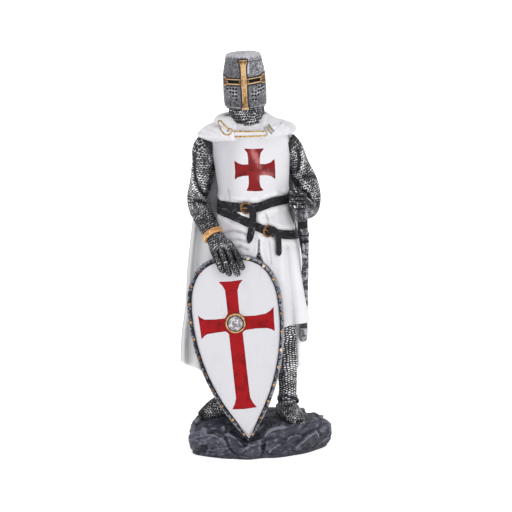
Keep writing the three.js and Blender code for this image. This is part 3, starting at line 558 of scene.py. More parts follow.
def makeRock():
    angle = anglesOf(rock["around"])[None, :]
    level = between(0, 1, rock["sideRows"])[:, None]
    x, y = rockSpot(angle, readTable(rock["side"], level)[0])
    side = np.stack([x, y, rockTop(x, y) * level], -1)
    x, y = rockSpot(angle, between(rock["side"][-1][1], 0.015, rock["topRows"] + 1)[1:, None])
    grid = np.concatenate([side, np.stack([x, y, rockTop(x, y)], -1)])
    x, y, z = grid[..., 0], grid[..., 1], grid[..., 2]
    fromX, fromY = x - rock["middle"][0], y - rock["middle"][1]
    outer = smoothStep(np.hypot(fromX / rock["length"], fromY / rock["depth"]), 0.36, 0.47)
    turned = np.arctan2(fromY, fromX) + 0.06 * lumps(grid, 4, 8)
    broken = smoothStep(lumps(grid * (1, 1, 1.4), 5, 18), -0.9, 0.1)
    crack, dent = 0 * z, 0 * z
    for place, lean, share in rock["clefts"]:
        away = turnFrom(turned, math.radians(place) + lean * (z - 8) / 3)
        crack = np.maximum(crack, share * outer * broken * bell(away, 0.034))
        dent = np.maximum(dent, share * outer * bell(away, 0.15))
    strata = np.stack([0.35 * (x * 0.9 + z * 0.45), 0.35 * y, z * 0.9 - x * 0.40], -1)  # sloping layers
    drift = np.stack([lumps(grid, 4, seed) for seed in (21, 22, 23)], -1)
    rise = rock["swell"] * lumps(grid * (1, 1, 1.2), 14, 3)
    rise = rise + rock["scoops"] * scoops(grid + 0.8 * drift, 2.0, 4)
    rise = rise + rock["facets"] * chips(strata + 1.1 * drift, 6.0, 12)[0]
    rise = rise + rock["facets"] * chips(strata * 1.1 + 0.9 * drift, 2.8, 9)[0]
    rise = (np.roll(rise, 1, 1) + rise + np.roll(rise, -1, 1)) / 3  # the steps are worn round
    rise[1:-1] = (rise[:-2] + rise[1:-1] + rise[2:]) / 3
    rise = rise - rock["cleftDepth"] * (0.8 * crack + 0.5 * dent) - rock["sink"]
    calm = smoothStep(z, 0, 1.6)
    # Around each foot and the shield's tip the rock is calmer, and a painted shadow darkens the rock round
    # them
    for restX, restY, wide in [*rock["feet"], (*figure["shieldTip"][:2], rock["tipReach"])]:
        near = bell(np.hypot(x - restX, y - restY), wide) * smoothStep(z, 6, 9)
        calm = calm * (1 - 0.85 * near)
        crack = np.maximum(crack, 0.55 * smoothStep(near, 0.3, 0.9))
    grid = pushed(grid, rise * calm)
    grid[..., 2] = np.maximum(grid[..., 2], 0)
    grid[0, :, 2] = 0
    # Faces that look up are painted lighter and steep faces darker, as painted light and shade.
    slope = np.clip(facing(grid)[..., 2], -0.4, 0.7) * smoothStep(16 - grid[..., 2], 0, 4)
    hollow = 0.7 * hollowOf(grid, 3) - 0.2 * (slope - 0.1)
    Shell().add(grid, hollow=hollow, crack=crack).finish("rockPlinth", "rock_base", "rock")


makeRock()


# Surcoat

surcoat = {"hem": 49.5, "top": 158.5, "skirtTop": 92, "hemThickness": 2.6, "hemRecess": 6.0, "hemLift": 3.4,
           "around": 250, "rows": 190, "slitMiddle": -0.2, "slitTop": 99.0, "slitDepth": 2.0,
           "waist": 115.2, "waistRise": 3, "swordLine": 106, "swordDrop": 7.2}
surcoatRows = [  # height, middle x and y, half width, depth near and far, depth of the folds
    [49.5, -2, 0, 28.4, 15.3, 17, 1.3], [64, -2.1, 0, 26.8, 14.8, 16.8, 1.1],
    [78, -2.3, 0, 25.3, 14.4, 16.2, 0.9], [92, -2.4, 0, 23.6, 14.2, 15.5, 0.6],
    [104, -2.7, -0.5, 20.6, 13.6, 13.5, 0.35], [112, -2.9, -1, 18.4, 12.6, 12.5, 0.2],
    [118, -3, -1, 17.9, 12.3, 12, 0.1], [126, -3.2, -1, 18.8, 12.6, 12.3, 0.1],
    [136, -3.6, -0.8, 19.6, 13.2, 12.6, 0], [144, -4.2, -0.4, 20.4, 12.9, 12.6, 0],
    [150, -4.8, 0, 20.2, 11.4, 12, 0], [155, -5.2, 0.3, 16.4, 10.2, 10.5, 0],
    [159, -5.6, 0.3, 11, 9.4, 9, 0]]


def surcoatPoint(angle, height, outward=0.0):
    x, y, wide, near, far, fold = readTable(surcoatRows, height)
    below = np.clip((surcoat["skirtTop"] - height) / (surcoat["skirtTop"] - surcoat["hem"]), 0, 1)
    waves = np.cos(7 * angle + 0.9) + 0.6 * np.cos(12 * angle + 2.2) + 0.35 * np.cos(19 * angle)
    swordSide = np.radians(-4 + 15 * below)
    room = (4.8 * below * bell(angle - swordSide, math.radians(14))
            - 2.2 * below * bell(angle - math.radians(-20), math.radians(13)))
    distance = reach(angle, wide, wide, near, far, 2.15) + 0.6 * fold * waves - room + outward
    return onFigure(x + distance * np.cos(angle), y + distance * np.sin(angle), height)


def hemLift(angle):  # the hem hangs a little higher on the sword side
    return surcoat["hemLift"] * bell(turnFrom(angle, math.radians(-5)), math.radians(42))


def waistLine(angle):
    return surcoat["waist"] + surcoat["waistRise"] * smoothStep(np.cos(angle), 0.05, 0.9)


def swordLine(angle):
    turn = np.clip(turnFrom(angle, front), -1.7, 1.7)
    return surcoat["swordLine"] - surcoat["swordDrop"] * np.sin(turn * 0.92)


chestCross = [  # painted cross with spread ends, x and height on the chest
    (-8.1, 146.4), (-5.2, 146.1), (-2.4, 146.1), (2.8, 146.3), (0.9, 144.2), (0.45, 141.6), (0.4, 138.3),
    (3.6, 138.2), (5.9, 138.9), (8.0, 140.7), (8.3, 137.5), (8.5, 133.0), (8.6, 129.7), (6.4, 131.6),
    (3.6, 132.3), (0.35, 132.3), (0.3, 128.6), (0.9, 126.0), (2.8, 124.1), (-1.9, 123.8), (-6.7, 124.1),
    (-5.6, 126.1), (-5.3, 128.6), (-5.5, 132.2), (-8.4, 131.9), (-10.8, 131.2), (-12.7, 129.8),
    (-12.4, 133.5), (-12.6, 137.0), (-12.9, 140.0), (-10.6, 138.5), (-8.6, 138.0), (-5.6, 138.1),
    (-5.7, 141.6), (-6.2, 144.2)]
surcoatCreases = [  # lines of x and height, depth and width of each pressed crease
    ([(3.2, 112.5), (4.6, 109.5), (4.9, 105.5)], 0.5, 0.5), ([(5.3, 98.5), (6.0, 93), (6.4, 85)], 0.45, 0.6),
    ([(-18.5, 101.0), (-14, 102.6), (-9, 102.2), (-4.5, 100.0)], 0.6, 0.9),
    ([(-17, 96.5), (-11.5, 98.3), (-6, 97.0)], 0.5, 0.9),
    ([(-15, 92.5), (-10, 94.5), (-6, 93.0)], 0.55, 1.0),
    ([(-14.5, 107.5), (-11, 106.5), (-8, 104.6)], 0.35, 0.6),
    ([(-13.5, 119.2), (-10.5, 118.4), (-7.5, 117.8)], 0.45, 0.5),
    ([(-16.5, 124), (-15.4, 120), (-15.2, 118.6)], 0.4, 0.6),
    ([(1.5, 118.8), (6.0, 119.8), (9.5, 120.4)], 0.3, 0.7),
    ([(9.5, 123.5), (12.5, 121.5), (14.5, 120.0)], 0.35, 0.6),
    ([(-14.6, 144), (-17.0, 132), (-17.4, 121)], 0.35, 2.2),
    ([(15.5, 96), (16.5, 84), (18.5, 66), (19.5, 50)], 0.35, 1.8),
    ([(11.5, 74), (13.0, 62), (14.0, 46)], 0.3, 2.0)]


def makeSurcoat():
    angle = anglesOf(surcoat["around"])[None, :]
    hem = surcoat["hem"] + hemLift(angle)
    base = surcoatPoint(angle, hem + (surcoat["top"] - hem) * between(0, 1, surcoat["rows"])[:, None])
    x, z = frontView(base)
    inFront = smoothStep(-np.sin(angle), 0.05, 0.35) * np.ones_like(z)
    below = np.clip((100 - z) / (100 - surcoat["hem"]), 0, 1)
    pleats = 0.20 * np.cos(17 * angle + 1.6 * lumps(base * (1, 1, 0.3), 22, 2)) * below ** 0.7
    rise = pleats + 0.22 * lumps(base * (1, 1, 0.3), 7, 5) * (0.35 + below)
    rise = rise + 0.35 * lumps(base * (1, 1, 0.6), 13, 8)
    gathers = 0.25 + 0.45 * smoothStep(lumps(base * (1, 1, 0.35), 3.6, 11), -0.5, 0.6)
    for line in (waistLine(angle), swordLine(angle)):  # the cloth puffs out beside each belt
        rise = rise + gathers * bell(np.abs(z - line) - 4.4, 2.0) - 0.5 * bell(z - line, 2.4)
    for line, depth, width in surcoatCreases:
        rise = rise - depth * bell(lineGap(line, x, z), width) * inFront
    away = np.abs(x - surcoat["slitMiddle"] - 0.02 * (z - 90))
    half = 0.30 + 2.1 * smoothStep(surcoat["slitTop"] - 6 - z, 0, 9) + 1.5 * smoothStep(82 - z, 0, 30)
    opened = smoothStep(surcoat["slitTop"] - z, 0, 2) * inFront
    rise = rise + 0.45 * bell(away - half - 0.9, 0.8) * opened  # lips beside the slit
    rise = rise - surcoat["slitDepth"] * (1 - smoothStep(away, half - 0.35, half + 0.25)) * opened
    skin = pushed(base, rise)
    skin[0, :, 2] = base[0, :, 2]
    inner = surcoatPoint(angle, hem, -surcoat["hemThickness"])
    ceiling = inner + np.array([0, 0, surcoat["hemRecess"]])
    grid = np.concatenate([ceiling, inner, inner * 0.5 + skin[:1] * 0.5, skin])

    cross = np.clip(np.where(inFront > 0.4, insideBy(chestCross, x, z), noCross), noCross, 3)
    hollow = 0.7 * hollowOf(skin, 4) + 0.25 * opened * bell(away - half, 0.35)
    # Painted shade on the left of the chest, and a painted shadow on the skirt round the open hand
    left = smoothStep(-x, 6, 17) * smoothStep(-np.sin(angle), -0.3, 0.3)
    shade = 0.50 * left * (0.8 + 0.4 * lumps(base * (1, 1, 0.5), 9, 21))
    shade = shade + 0.25 * spot(x + 15.5, z - 96, 7, 10) * inFront
    # Painted highlights on the chest cross
    shine = np.maximum(spot(x + 3.3 - 0.40 * (146 - z), z - 142, 2.2, 6.5),
                       spot(x - 3.4, z - 131.8, 4.4, 3.2))
    under = np.zeros((3, surcoat["around"]))  # the three rows inside the hem
    cross, hollow, shade, gloss = (np.concatenate([under + start, value]) for start, value in (
        (noCross, cross), (0, hollow), (0, np.clip(shade, 0, 1)), (0, shine * inFront)))
    shell = Shell().add(grid, hollow=hollow, cross=cross, shade=shade, gloss=gloss)
    shell.finish("surcoat", "knight", "cloth")


makeSurcoat()


# Cloak

cloak = {"thickness": 2.4, "top": 154.0, "middleY": 4, "across": 144, "rows": 126, "hemLine": 0.25}
cloakRows = [  # height, middle x, half width, depth, angle of the left and of the right edge
    [18, -9.3, 32.4, 18.2, 180, 4], [40, -9.4, 32.0, 17.8, 180, 3], [60, -8.6, 30.4, 17, 182, 0],
    [80, -7.9, 30, 16.2, 184, -3], [100, -7.2, 28.6, 15.2, 187, -6], [120, -6.5, 27, 14, 190, -8],
    [140, -5.6, 25.4, 12.8, 193, -10], [154, -5.2, 22, 11.2, 195, -12]]


def cloakPoint(share, fall, inside=False):
    corner = np.clip((np.cos(3.07 * share) - 0.61) / 0.39, 0, 1) + 0.2 * bell(share, 0.02)
    hem = 17.4 + 9.2 * corner + 8.6 * bell(1 - share, 0.12) + 0.5 * np.sin(9 * share * math.pi) * (1 - corner)
    height = cloak["top"] + (hem - cloak["top"]) * fall
    x, wide, deep, left, right = readTable(cloakRows, height)
    angle = np.radians(left + (right - left) * share)
    middle = np.sin(np.clip(share, 0, 1) * math.pi)
    waves = 1.5 * np.cos(11 * angle + 0.5) + 0.8 * np.cos(18 * angle + 2)
    folds = 0.8 * waves * fall * np.sqrt(middle)
    againstBack = 6.5 * middle ** 1.5 * smoothStep(height, surcoat["hem"], surcoat["hem"] + 8)
    inward = (cloak["thickness"] + againstBack) * inside
    a, b = wide + folds - inward, deep + folds - inward
    return onFigure(x + a * np.cos(angle), cloak["middleY"] + b * np.sin(angle), height)


def makeCloak():
    share = between(0, 1, cloak["across"])[None, :]
    fall = between(0, 1, cloak["rows"])[:, None]
    outside = cloakPoint(share, fall)
    inside = cloakPoint(0.004 + 0.992 * share, fall, True)
    middle = np.sqrt(np.sin(np.clip(share, 0.02, 0.98) * math.pi))
    drift = lumps(outside * (1, 1, 0.2), 14, 4)
    fine = 0.35 * np.cos(61 * share + 2.2 * drift) * fall * middle
    fine = fine + 0.16 * lumps(outside * (1, 1, 0.3), 4.5, 7)
    hemLine = cloak["hemLine"] * bell((1 - fall) * (cloak["top"] - cloakRows[0][0]) - 1.6, 0.6)
    skin = pushed(outside, fine - 0.25 + hemLine, across=False)
    skin[:, [0, -1]] = outside[:, [0, -1]]
    lining = pushed(inside, 0.3 * np.cos(37 * share + 1.5 * drift) * fall * middle, across=False)
    grid = backed(skin, lining)
    hollow = 0.72 * backed(hollowOf(skin, 4, across=False), -hollowOf(lining, 4, across=False))
    x, z = frontView(grid)
    lined = 1 * (np.arange(grid.shape[1])[None, :] >= cloak["across"])
    ahead, behind = smoothStep(-grid[..., 1], -14, -6), 1 - smoothStep(-grid[..., 1], -11, -6)
    # Painted shade on the lining behind the arm, on the outside's left edge and along the cut edge; painted
    # light whitens the lining and the front of the outside; behind, the outside is painted a little darker,
    # more so in its folds
    underArm = lined * smoothStep(x, -33, -29) * smoothStep(z, 96, 114)
    underArm = underArm + 0.55 * (1 - lined) * smoothStep(-x, 28, 32) * ahead
    underArm = np.maximum(underArm, 0.42 * smoothStep(0.012 - backed(share, share), 0, 0.004))
    pale = np.where(lined, 1, 0.9 - 0.9 * behind) * (1 - underArm)
    shade = 0.75 * underArm + (1 - lined) * behind * (0.12 + 0.5 * smoothStep(hollow, 0.0, 0.25))
    shell = Shell().add(grid, ends=("strip", "strip"), hollow=hollow, cross=noCross, pale=pale, shade=shade)
    shell.finish("cloak", "knight", "cloth")


makeCloak()


# Mantle with its rolled hood, and the strap across the chest

mantle = {"middle": (-5.5, 1.0), "around": 300, "rows": 112, "lapel": 1.1, "slope": 0.045}
chestStrap = {"left": -12.6, "right": 3.6, "lower": 151.85, "upper": 155.55, "depth": -12.2, "across": 90,
              "rows": 26, "cord": 0.3}
mantleRows = [  # level, height, left, right, near and far reach, drop in front
    [0, 149.4, 22.5, 20, 11.2, 12, 0], [1, 152.0, 27, 24.2, 13.2, 14, 0.8],
    [2, 154.2, 25.8, 24.4, 13.9, 14.2, 1.4], [3, 156.6, 22.6, 22.0, 13.8, 14, 2.2],
    [4, 158.2, 19.4, 17.2, 13.0, 13.8, 2.8], [5, 160.6, 18.1, 12.4, 12, 13.2, 3.7],
    [6, 162.0, 16.3, 10.2, 10.9, 12, 4.2], [7, 162.0, 12.8, 8.8, 9.8, 10.4, 4.1],
    [8, 157.0, 10.6, 8, 8.6, 8.8, 1.2]]
leftLoop = [  # outlines of the small trim, x and height
    (-21.5, 159.6), (-19.8, 160.0), (-17.9, 158.3), (-16.0, 156.6), (-14.2, 156.4), (-13.5, 155.5),
    (-14.6, 153.6), (-16.5, 152.8), (-18.3, 153.4), (-19.8, 155.1), (-20.5, 156.8), (-21.6, 157.9)]
leftSquare = [(-16.9, 155.2), (-15.8, 156.1), (-14.9, 155.2), (-16.1, 154.3)]
rightPatch = [(3.4, 156.9), (5.2, 158.5), (7.9, 155.1), (6.3, 153.4)]
mantleCreases = [  # lines of x and height, depth and width of each crease
    ([(-27.5, 155.6), (-24, 154.9), (-20.6, 152.8)], 0.4, 0.6),
    ([(-13.4, 158.6), (-12.6, 155.6), (-10.6, 151.2)], 0.4, 0.6),
    ([(4.6, 160.6), (2.6, 157.0), (4.4, 152.0)], 0.4, 0.6),
    ([(-25.5, 157.8), (-21.8, 157.2), (-19.2, 154.6), (-15.5, 151.4)], 0.45, 0.7),
    ([(-31.4, 152.9), (-27.5, 152.9), (-23.5, 152.4), (-19.8, 151.5)], 0.35, 0.8),
    ([(11.6, 158.7), (9.3, 156.5), (7.7, 154.4)], 0.4, 0.5),
    ([(14.2, 157.6), (10.4, 155.0), (8.3, 153.1)], 0.35, 0.7),
    ([(17.6, 155.6), (15.0, 154.2), (12.0, 153.4)], 0.4, 0.6)]


def mantlePoint(angle, level):
    height, left, right, near, far, drop = readTable(mantleRows, level)
    turn = np.abs(turnFrom(angle, front))
    inFront = 1 - smoothStep(turn, math.radians(24), math.radians(54))
    edge = math.radians(30) + math.radians(8) * (np.cos(angle) > 0)
    lapel = mantle["lapel"] * smoothStep(turn, edge - 0.05, edge + 0.05)
    folds = 0.35 * np.cos(9 * angle + 1) * np.minimum(1, level / 3)
    sunk = mantle["lapel"] - np.where(np.sin(angle) < 0, lapel, mantle["lapel"])
    distance = reach(angle, left, right, near, far, 2) + folds - sunk
    across = distance * np.cos(angle)
    return onFigure(mantle["middle"][0] + across, mantle["middle"][1] + distance * np.sin(angle),
                    height - drop * inFront + mantle["slope"] * across)


def makeMantle():
    angle = anglesOf(mantle["around"], start=math.pi / 2)[None, :]
    level = between(0, mantleRows[-1][0], mantle["rows"])[:, None]
    base = mantlePoint(angle, level)
    x, z = frontView(base)
    turn = np.abs(turnFrom(angle, front))
    ahead = (1 - smoothStep(turn, math.radians(80), math.radians(100))) * np.ones_like(z)
    loop, square, patch = (insideBy(outline, x, z) for outline in (leftLoop, leftSquare, rightPatch))
    folds = bell(level - 2.4, 1.5) * smoothStep(turn, 0.9, 1.5)
    rise = 0.35 * np.cos(17 * angle + 1.4 * lumps(base, 12, 3)) * folds + 0.2 * lumps(base, 6, 6)
    roll = bell(level - 4.3 + 0.9 * np.cos(turn), 0.35)
    rise = rise - 0.5 * roll * smoothStep(turn, math.radians(38), math.radians(60))
    for line, depth, width in mantleCreases:
        rise = rise - ahead * depth * bell(lineGap(line, x, z), width)
    rise = rise + ahead * (0.3 * smoothStep(loop, -0.3, 0.1) - 0.18 * smoothStep(loop, 0.5, 0.8))
    rise = rise + ahead * 0.35 * (smoothStep(square, -0.1, 0.15) + smoothStep(patch, -0.25, 0.05))
    grid = pushed(base, rise)
    stripe = np.abs((x - 5.65) * 0.764 + (z - 155.9) * 0.644)  # a gilt line across the right patch
    gilt = np.maximum(bell(loop - 0.30, 0.45) * smoothStep(x, -21.9, -20.9),
                      smoothStep(patch, 0.1, 0.3) * bell(stripe, 0.32))
    dark = np.maximum(smoothStep(square, 0, 0.2) * 0.7,
                      smoothStep(patch, -0.3, 0.0) * (1 - bell(stripe, 0.3)) * 0.75)
    dark = np.maximum(dark, 0.45 * bell(loop - 0.30, 0.5) * smoothStep(x, -16.5, -19.5))
    shell = Shell().add(grid, hollow=0.75 * hollowOf(grid, 3), gilt=ahead * gilt, dark=ahead * dark,
                        cross=noCross)
    shell.finish("mantle", "knight", "cloth")


def makeChestStrap():  # it lies between the lapels, with a gold cord along each edge
    across = between(chestStrap["left"], chestStrap["right"], chestStrap["across"])[None, :]
    share = between(0, 1, chestStrap["rows"])[:, None]
    lower = chestStrap["lower"] + 0.04 * (across + 11.9)
    z = lower + (chestStrap["upper"] - lower) * share
    depth = chestStrap["depth"] + 0.012 * (across + 4.6) ** 2 + 0.35 * share
    cord = np.maximum(bell(share - 0.15, 0.15), bell(share - 0.87, 0.13)) + 0 * across
    grid = backed(onFigure(across, depth - 0.45 - chestStrap["cord"] * cord, z),
                  onFigure(across, depth + 1.2, z))
    shell = Shell().add(grid, ends=("strip", "strip"), gilt=backed(cord, 0 * cord), cross=noCross)
    shell.finish("chestStrap", "knight", "cloth")


makeMantle()
makeChestStrap()


# Mail: rows of staggered links pressed out of a limb

mail = {"pitch": 1.46, "rowPitch": 1.2, "legPitch": 1.28, "perLink": 5, "perRow": 5, "relief": 0.45,
        "swell": 0.35, "endShade": 0.25, "sideShade": 0.5, "groove": 0.75, "ridge": 0.6}


def linkField(turn, row, upright=False):  # 1 on the wire of the links, 0 in the holes
    if upright:
        column = np.floor(turn)
        a, b = turn - column - 0.5, row + 0.5 * (column % 2)
        b = b - np.floor(b) - 0.5
        return np.exp(-(np.abs(a / 0.45) ** 5 + np.abs(b / 0.31) ** 3))
    line = np.floor(row)
    b = row - line - 0.5
    lean = np.where(line % 2 > 0, 0.30, -0.30) * b
    a = turn + 0.5 * (line % 2) + lean
    a = a - np.floor(a) - 0.5
    hole = np.exp(-(np.abs(a / 0.37) ** 3 + np.abs(b / 0.38) ** 3))
    return 1 - hole


def mailLimb(shell, stations, radius, start=0.0, side=(1, 0, 0), power=2.0, upright=False, folds=(),
             pitch=1.0, shade=0.0, rim=(0, 0, 0), fade=(0, 0), shaded=0.0, loose=False):
    wide = mail["pitch"] * pitch * (mail["legPitch"] if upright else 1.0)
    around = 2 * max(3, round(math.pi * radius / wide)) * mail["perLink"]
    _, _, length = limbGrid(stations, 8, 60, side, power, start)
    linkRows = max(2, round(length[-1] / mail["rowPitch"] / pitch))
    grid, _, length = limbGrid(stations, around, linkRows * mail["perRow"] + 1, side, power, start)
    turn = (np.arange(around) + 0.5)[None, :] / mail["perLink"]
    turn = turn + 0.3 * lumps(grid, 3.6, 3) + 0.22 * lumps(grid, 1.7, 13)
    row = (length / length[-1] * linkRows)[:, None] + 0.3 * lumps(grid, 3.3, 7) + 0.26 * lumps(grid, 1.9, 17)
    field = np.clip(0.55 + scoops(grid, 0.9, 3), 0, 1) if loose else linkField(turn, row, upright)
    broad = lumps(grid * (1, 1, 0.7), 7, 5)
    rise = mail["relief"] * (field - 0.75) * math.sqrt(pitch) + mail["swell"] * broad
    tone = 0.16 * broad + 0.10 * lumps(grid, 3.5, 9) + shade
    # Painted shade: the links darken towards an end, on the sides that rim picks and, by shaded, on the left
    for away, depth in ((length, fade[0]), (length[-1] - length, fade[1])):  # the links darken towards an end
        if depth:
            tone = tone - mail["endShade"] * (1 - smoothStep(away, 0, depth))[:, None]
    out = facing(grid)
    ahead = smoothStep(-out[..., 1], -0.2, 0.3)
    tone = tone - mail["sideShade"] * smoothStep(np.abs(out * rim).sum(-1), 0.45, 0.95)
    tone = tone - shaded * smoothStep(-out[..., 0], -0.1, 0.8)
    # Along the folds: painted shade in the grooves and painted highlights on the ridges
    for line, depth, width in folds:  # dark grooves, and bright ridges where the depth is under 0
        near = bell(lineGap(line, *frontView(grid)), width) * ahead
        rise = rise - depth * near
        tone = tone - mail["groove" if depth > 0 else "ridge"] * depth * near
    return shell.add(grid + out * rise[..., None], raised=field, tone=tone)


# Each line: x, y, z, half width and half depth. Each fold: x and height, depth and width.
neck = {"line": [[-5.4, 0.4, 148, 10.6, 9.6], [-5.8, 0.2, 156, 10.3, 9.4], [-6.4, -0.6, 162, 9.4, 9.2],
                 [-6.8, -1, 170, 9, 9]]}
elbowArm = {"line": [
    [-21.5, 1, 148.5, 6.4], [-27.9, 0.5, 144.2, 6.4], [-28.8, 1, 135, 6.1], [-30.3, 1.5, 126, 6],
    [-32.4, 2.3, 117, 5.3], [-30.9, 1.0, 111.5, 5.6], [-27.8, -3, 106, 5.4], [-25.0, -6.4, 101.5, 5.1],
    [-22.9, -9, 98, 4.7]],
    "folds": [
        ([(-34.0, 141.3), (-33.7, 131.9), (-33.5, 128.9), (-31.7, 124.4), (-29.5, 121.0), (-28.0, 119.2)],
         0.8, 0.9),
        ([(-35.2, 136.0), (-34.9, 131.2), (-33.8, 124.4), (-31.5, 121.4), (-29.5, 119.0), (-27.7, 118.2)],
         -0.5, 0.9),
        ([(-33.6, 116.5), (-31.9, 116.8), (-29.5, 116.3), (-27.7, 115.0)], 0.6, 0.8),
        ([(-29.1, 150.7), (-26.9, 148.3), (-25.0, 146.2), (-22.9, 142.6), (-22.2, 140.3), (-22.2, 133.5)],
         0.6, 1.3),
        ([(-24.0, 134.2), (-25.1, 128.9), (-26.4, 122.5), (-27.7, 118.2)], 0.3, 1.3)]}
swordArm = {"line": [
    [12, 1, 149.5, 5.4], [16.8, 1.5, 144.6, 5.5], [20.3, 2.4, 136, 5.4], [23.6, 4, 127, 6.3],
    [26.2, 5.8, 118, 6.3], [26, 4.4, 112.4, 6.0], [24.2, -1, 112.2, 5.5], [22.4, -6.5, 115, 5.0],
    [21.0, -10, 118, 4.4]],
    "folds": [
        ([(20.1, 143.9), (20.8, 141.1), (21.3, 138.4), (20.6, 135.2), (19.6, 132.3)], 0.7, 0.9),
        ([(22.1, 142.3), (22.7, 138.4), (22.1, 134.9), (21.1, 132.0)], -0.4, 0.8),
        ([(16.4, 138.4), (17.0, 133.1), (18.3, 129.4), (19.8, 125.7)], 0.35, 2.2),
        ([(23.0, 129.6), (25.6, 129.1), (28.0, 129.2), (30.6, 128.0)], 0.6, 0.9),
        ([(18.5, 129.9), (20.9, 128.6), (23.0, 126.7), (23.8, 125.4)], -0.45, 1.7),
        ([(22.9, 123.4), (25.0, 122.4), (27.1, 120.0), (30.0, 116.8)], -0.35, 0.8),
        ([(23.4, 121.7), (25.5, 119.6), (26.7, 117.0), (27.5, 114.5)], 0.5, 1.2)]}
legs = [
    {"name": "elbowSideLeg",
     "line": [[-13, 1, 62, 7.4], [-14.8, 2, 47, 6.8], [-16.2, 4, 32, 6.2], [-17.4, 4.6, 17, 4.9],
              [-17.6, 4.6, 6, 4.8]],
     "foot": [[-14.2, 9.8, 2.6, 3, 3.6], [-18.4, 4.8, 3.8, 5.2, 4.6], [-23.4, -0.4, 3.4, 5, 4.6],
              [-27.8, -4.4, 2.2, 3.5, 4.1], [-30.4, -6.8, 1.5, 2.2, 3], [-31.4, -7.7, 1.1, 0.5, 0.7]]},
    {"name": "swordSideLeg",
     "line": [[11, 0, 62, 7.4], [13.4, -0.4, 47, 6.6], [14.4, 0.4, 32, 6], [15.3, 0, 17, 4.8],
              [15, 0.2, 6, 4.8]],
     "foot": [[12.4, 5.2, 2.6, 3, 3.6], [14.8, 0, 3.6, 4.6, 4.8], [17.2, -8.2, 2.9, 4.4, 5.4],
              [19.6, -14.2, 1.9, 3, 4.5], [21.5, -17.6, 1.4, 2, 3], [22.1, -18.9, 1.1, 0.5, 0.7]]}]
mailSkirt = {"left": -103, "right": -77, "low": 50, "high": 98, "across": 56, "rows": 130, "depth": 1.35,
             "back": 3.0, "relief": 0.35}


def makeMail():
    mailLimb(Shell(), neck["line"], 10, 0.08, shade=-0.1).finish("neckMail", "knight", "mail")
    elbow = mailLimb(Shell(), elbowArm["line"], 5.8, 0.06, folds=elbowArm["folds"], fade=(9, 26), shade=0.04)
    elbow.finish("elbowSleeve", "knight", "mail")
    sword = mailLimb(Shell(), swordArm["line"], 5.9, 0.06, folds=swordArm["folds"], fade=(9, 0))
    sword.finish("swordSleeve", "knight", "mail")
    for leg in legs:
        shell = mailLimb(Shell(), leg["line"], 5.9, 0.12, upright=True, shade=0.1, shaded=0.35)
        mailLimb(shell, leg["foot"], 4.3, side=(0, 0, 1), power=2.3, fade=(0, 3), shaded=0.15)
        shell.finish(leg["name"], "knight", "mail")

    # The mail skirt that shows in the surcoat's slit.
    angle = np.radians(between(mailSkirt["left"], mailSkirt["right"], mailSkirt["across"]))[None, :]
    height = between(mailSkirt["low"], mailSkirt["high"], mailSkirt["rows"])[:, None]
    base = surcoatPoint(angle, height, -mailSkirt["depth"])
    field = linkField(base[..., 0] / mail["pitch"] + 0.2 * lumps(base, 4, 3), base[..., 2] / mail["rowPitch"])
    skin = pushed(base, mailSkirt["relief"] * (field - 0.8), across=False)
    grid = backed(skin, surcoatPoint(angle, height, -mailSkirt["back"]))
    shell = Shell().add(grid, ends=("strip", "strip"), raised=backed(field, 0 * field))
    shell.finish("mailSkirt", "knight", "mail")


makeMail()


# Hands

hand = {"palm": [[-22.7, -9, 98.4, 4.7, 4.2], [-21.4, -11.5, 95.8, 5.4, 3.6], [-19.3, -13.8, 93.4, 6.8, 3],
                 [-17.2, -15.4, 91.8, 7, 2.4]],
        "fingers": [
            [[-21.4, -11, 95.4], [-22.8, -17, 91.6], [-20.8, -20.9, 87.0], [-18.9, -21.4, 83.2],
             [-18.6, -21.4, 82.2]],
            [[-20, -12, 95.4], [-19.4, -18, 92.0], [-17.3, -21.4, 86.4], [-15.5, -21.6, 81.6],
             [-15.2, -21.6, 80.6]],
            [[-18.4, -12, 95.6], [-15.8, -18.2, 92.2], [-13.2, -21.6, 86.4], [-11.1, -21.6, 81.6],
             [-10.8, -21.6, 80.6]],
            [[-17, -11, 95.8], [-12.4, -17.4, 92.2], [-10.0, -21.2, 88.0], [-8.6, -21.3, 84.8],
             [-8.4, -21.3, 83.8]]],
        "thumb": [[-16.5, -10, 95.2], [-14.4, -10.6, 93.8], [-12.6, -11.2, 92.4], [-11.0, -12.2, 89.6],
                  [-10.4, -12.6, 88.2]],
        "fingerRadius": 1.62, "fingerShares": (1.05, 1.1, 1.05, 0.95, 0.45)}
# Stations of the fist are given from its middle, each with its half width.
fist = {"middle": (20.7, -11.2, 119.5), "fingerSpacing": 2.1,
        "core": [(0, 0, -4.56, 0.5), (0, 0, -3.42, 2.356), (0, 0, 0, 3.534), (0, 0, 3.42, 2.356),
                 (0, 0, 4.56, 0.5)],
        "finger": [(-3.0, 1, 0, 1.15), (-3.4, -3.0, 0.2, 1.35), (0.2, -4.6, 0.3, 1.35), (3.3, -1.8, 0, 1.15)],
        "thumb": [(-3.2, 1.5, 3.2, 1.4), (-3.5, -2.6, 4.1, 1.35), (0, -4.4, 4.4, 1.1)]}


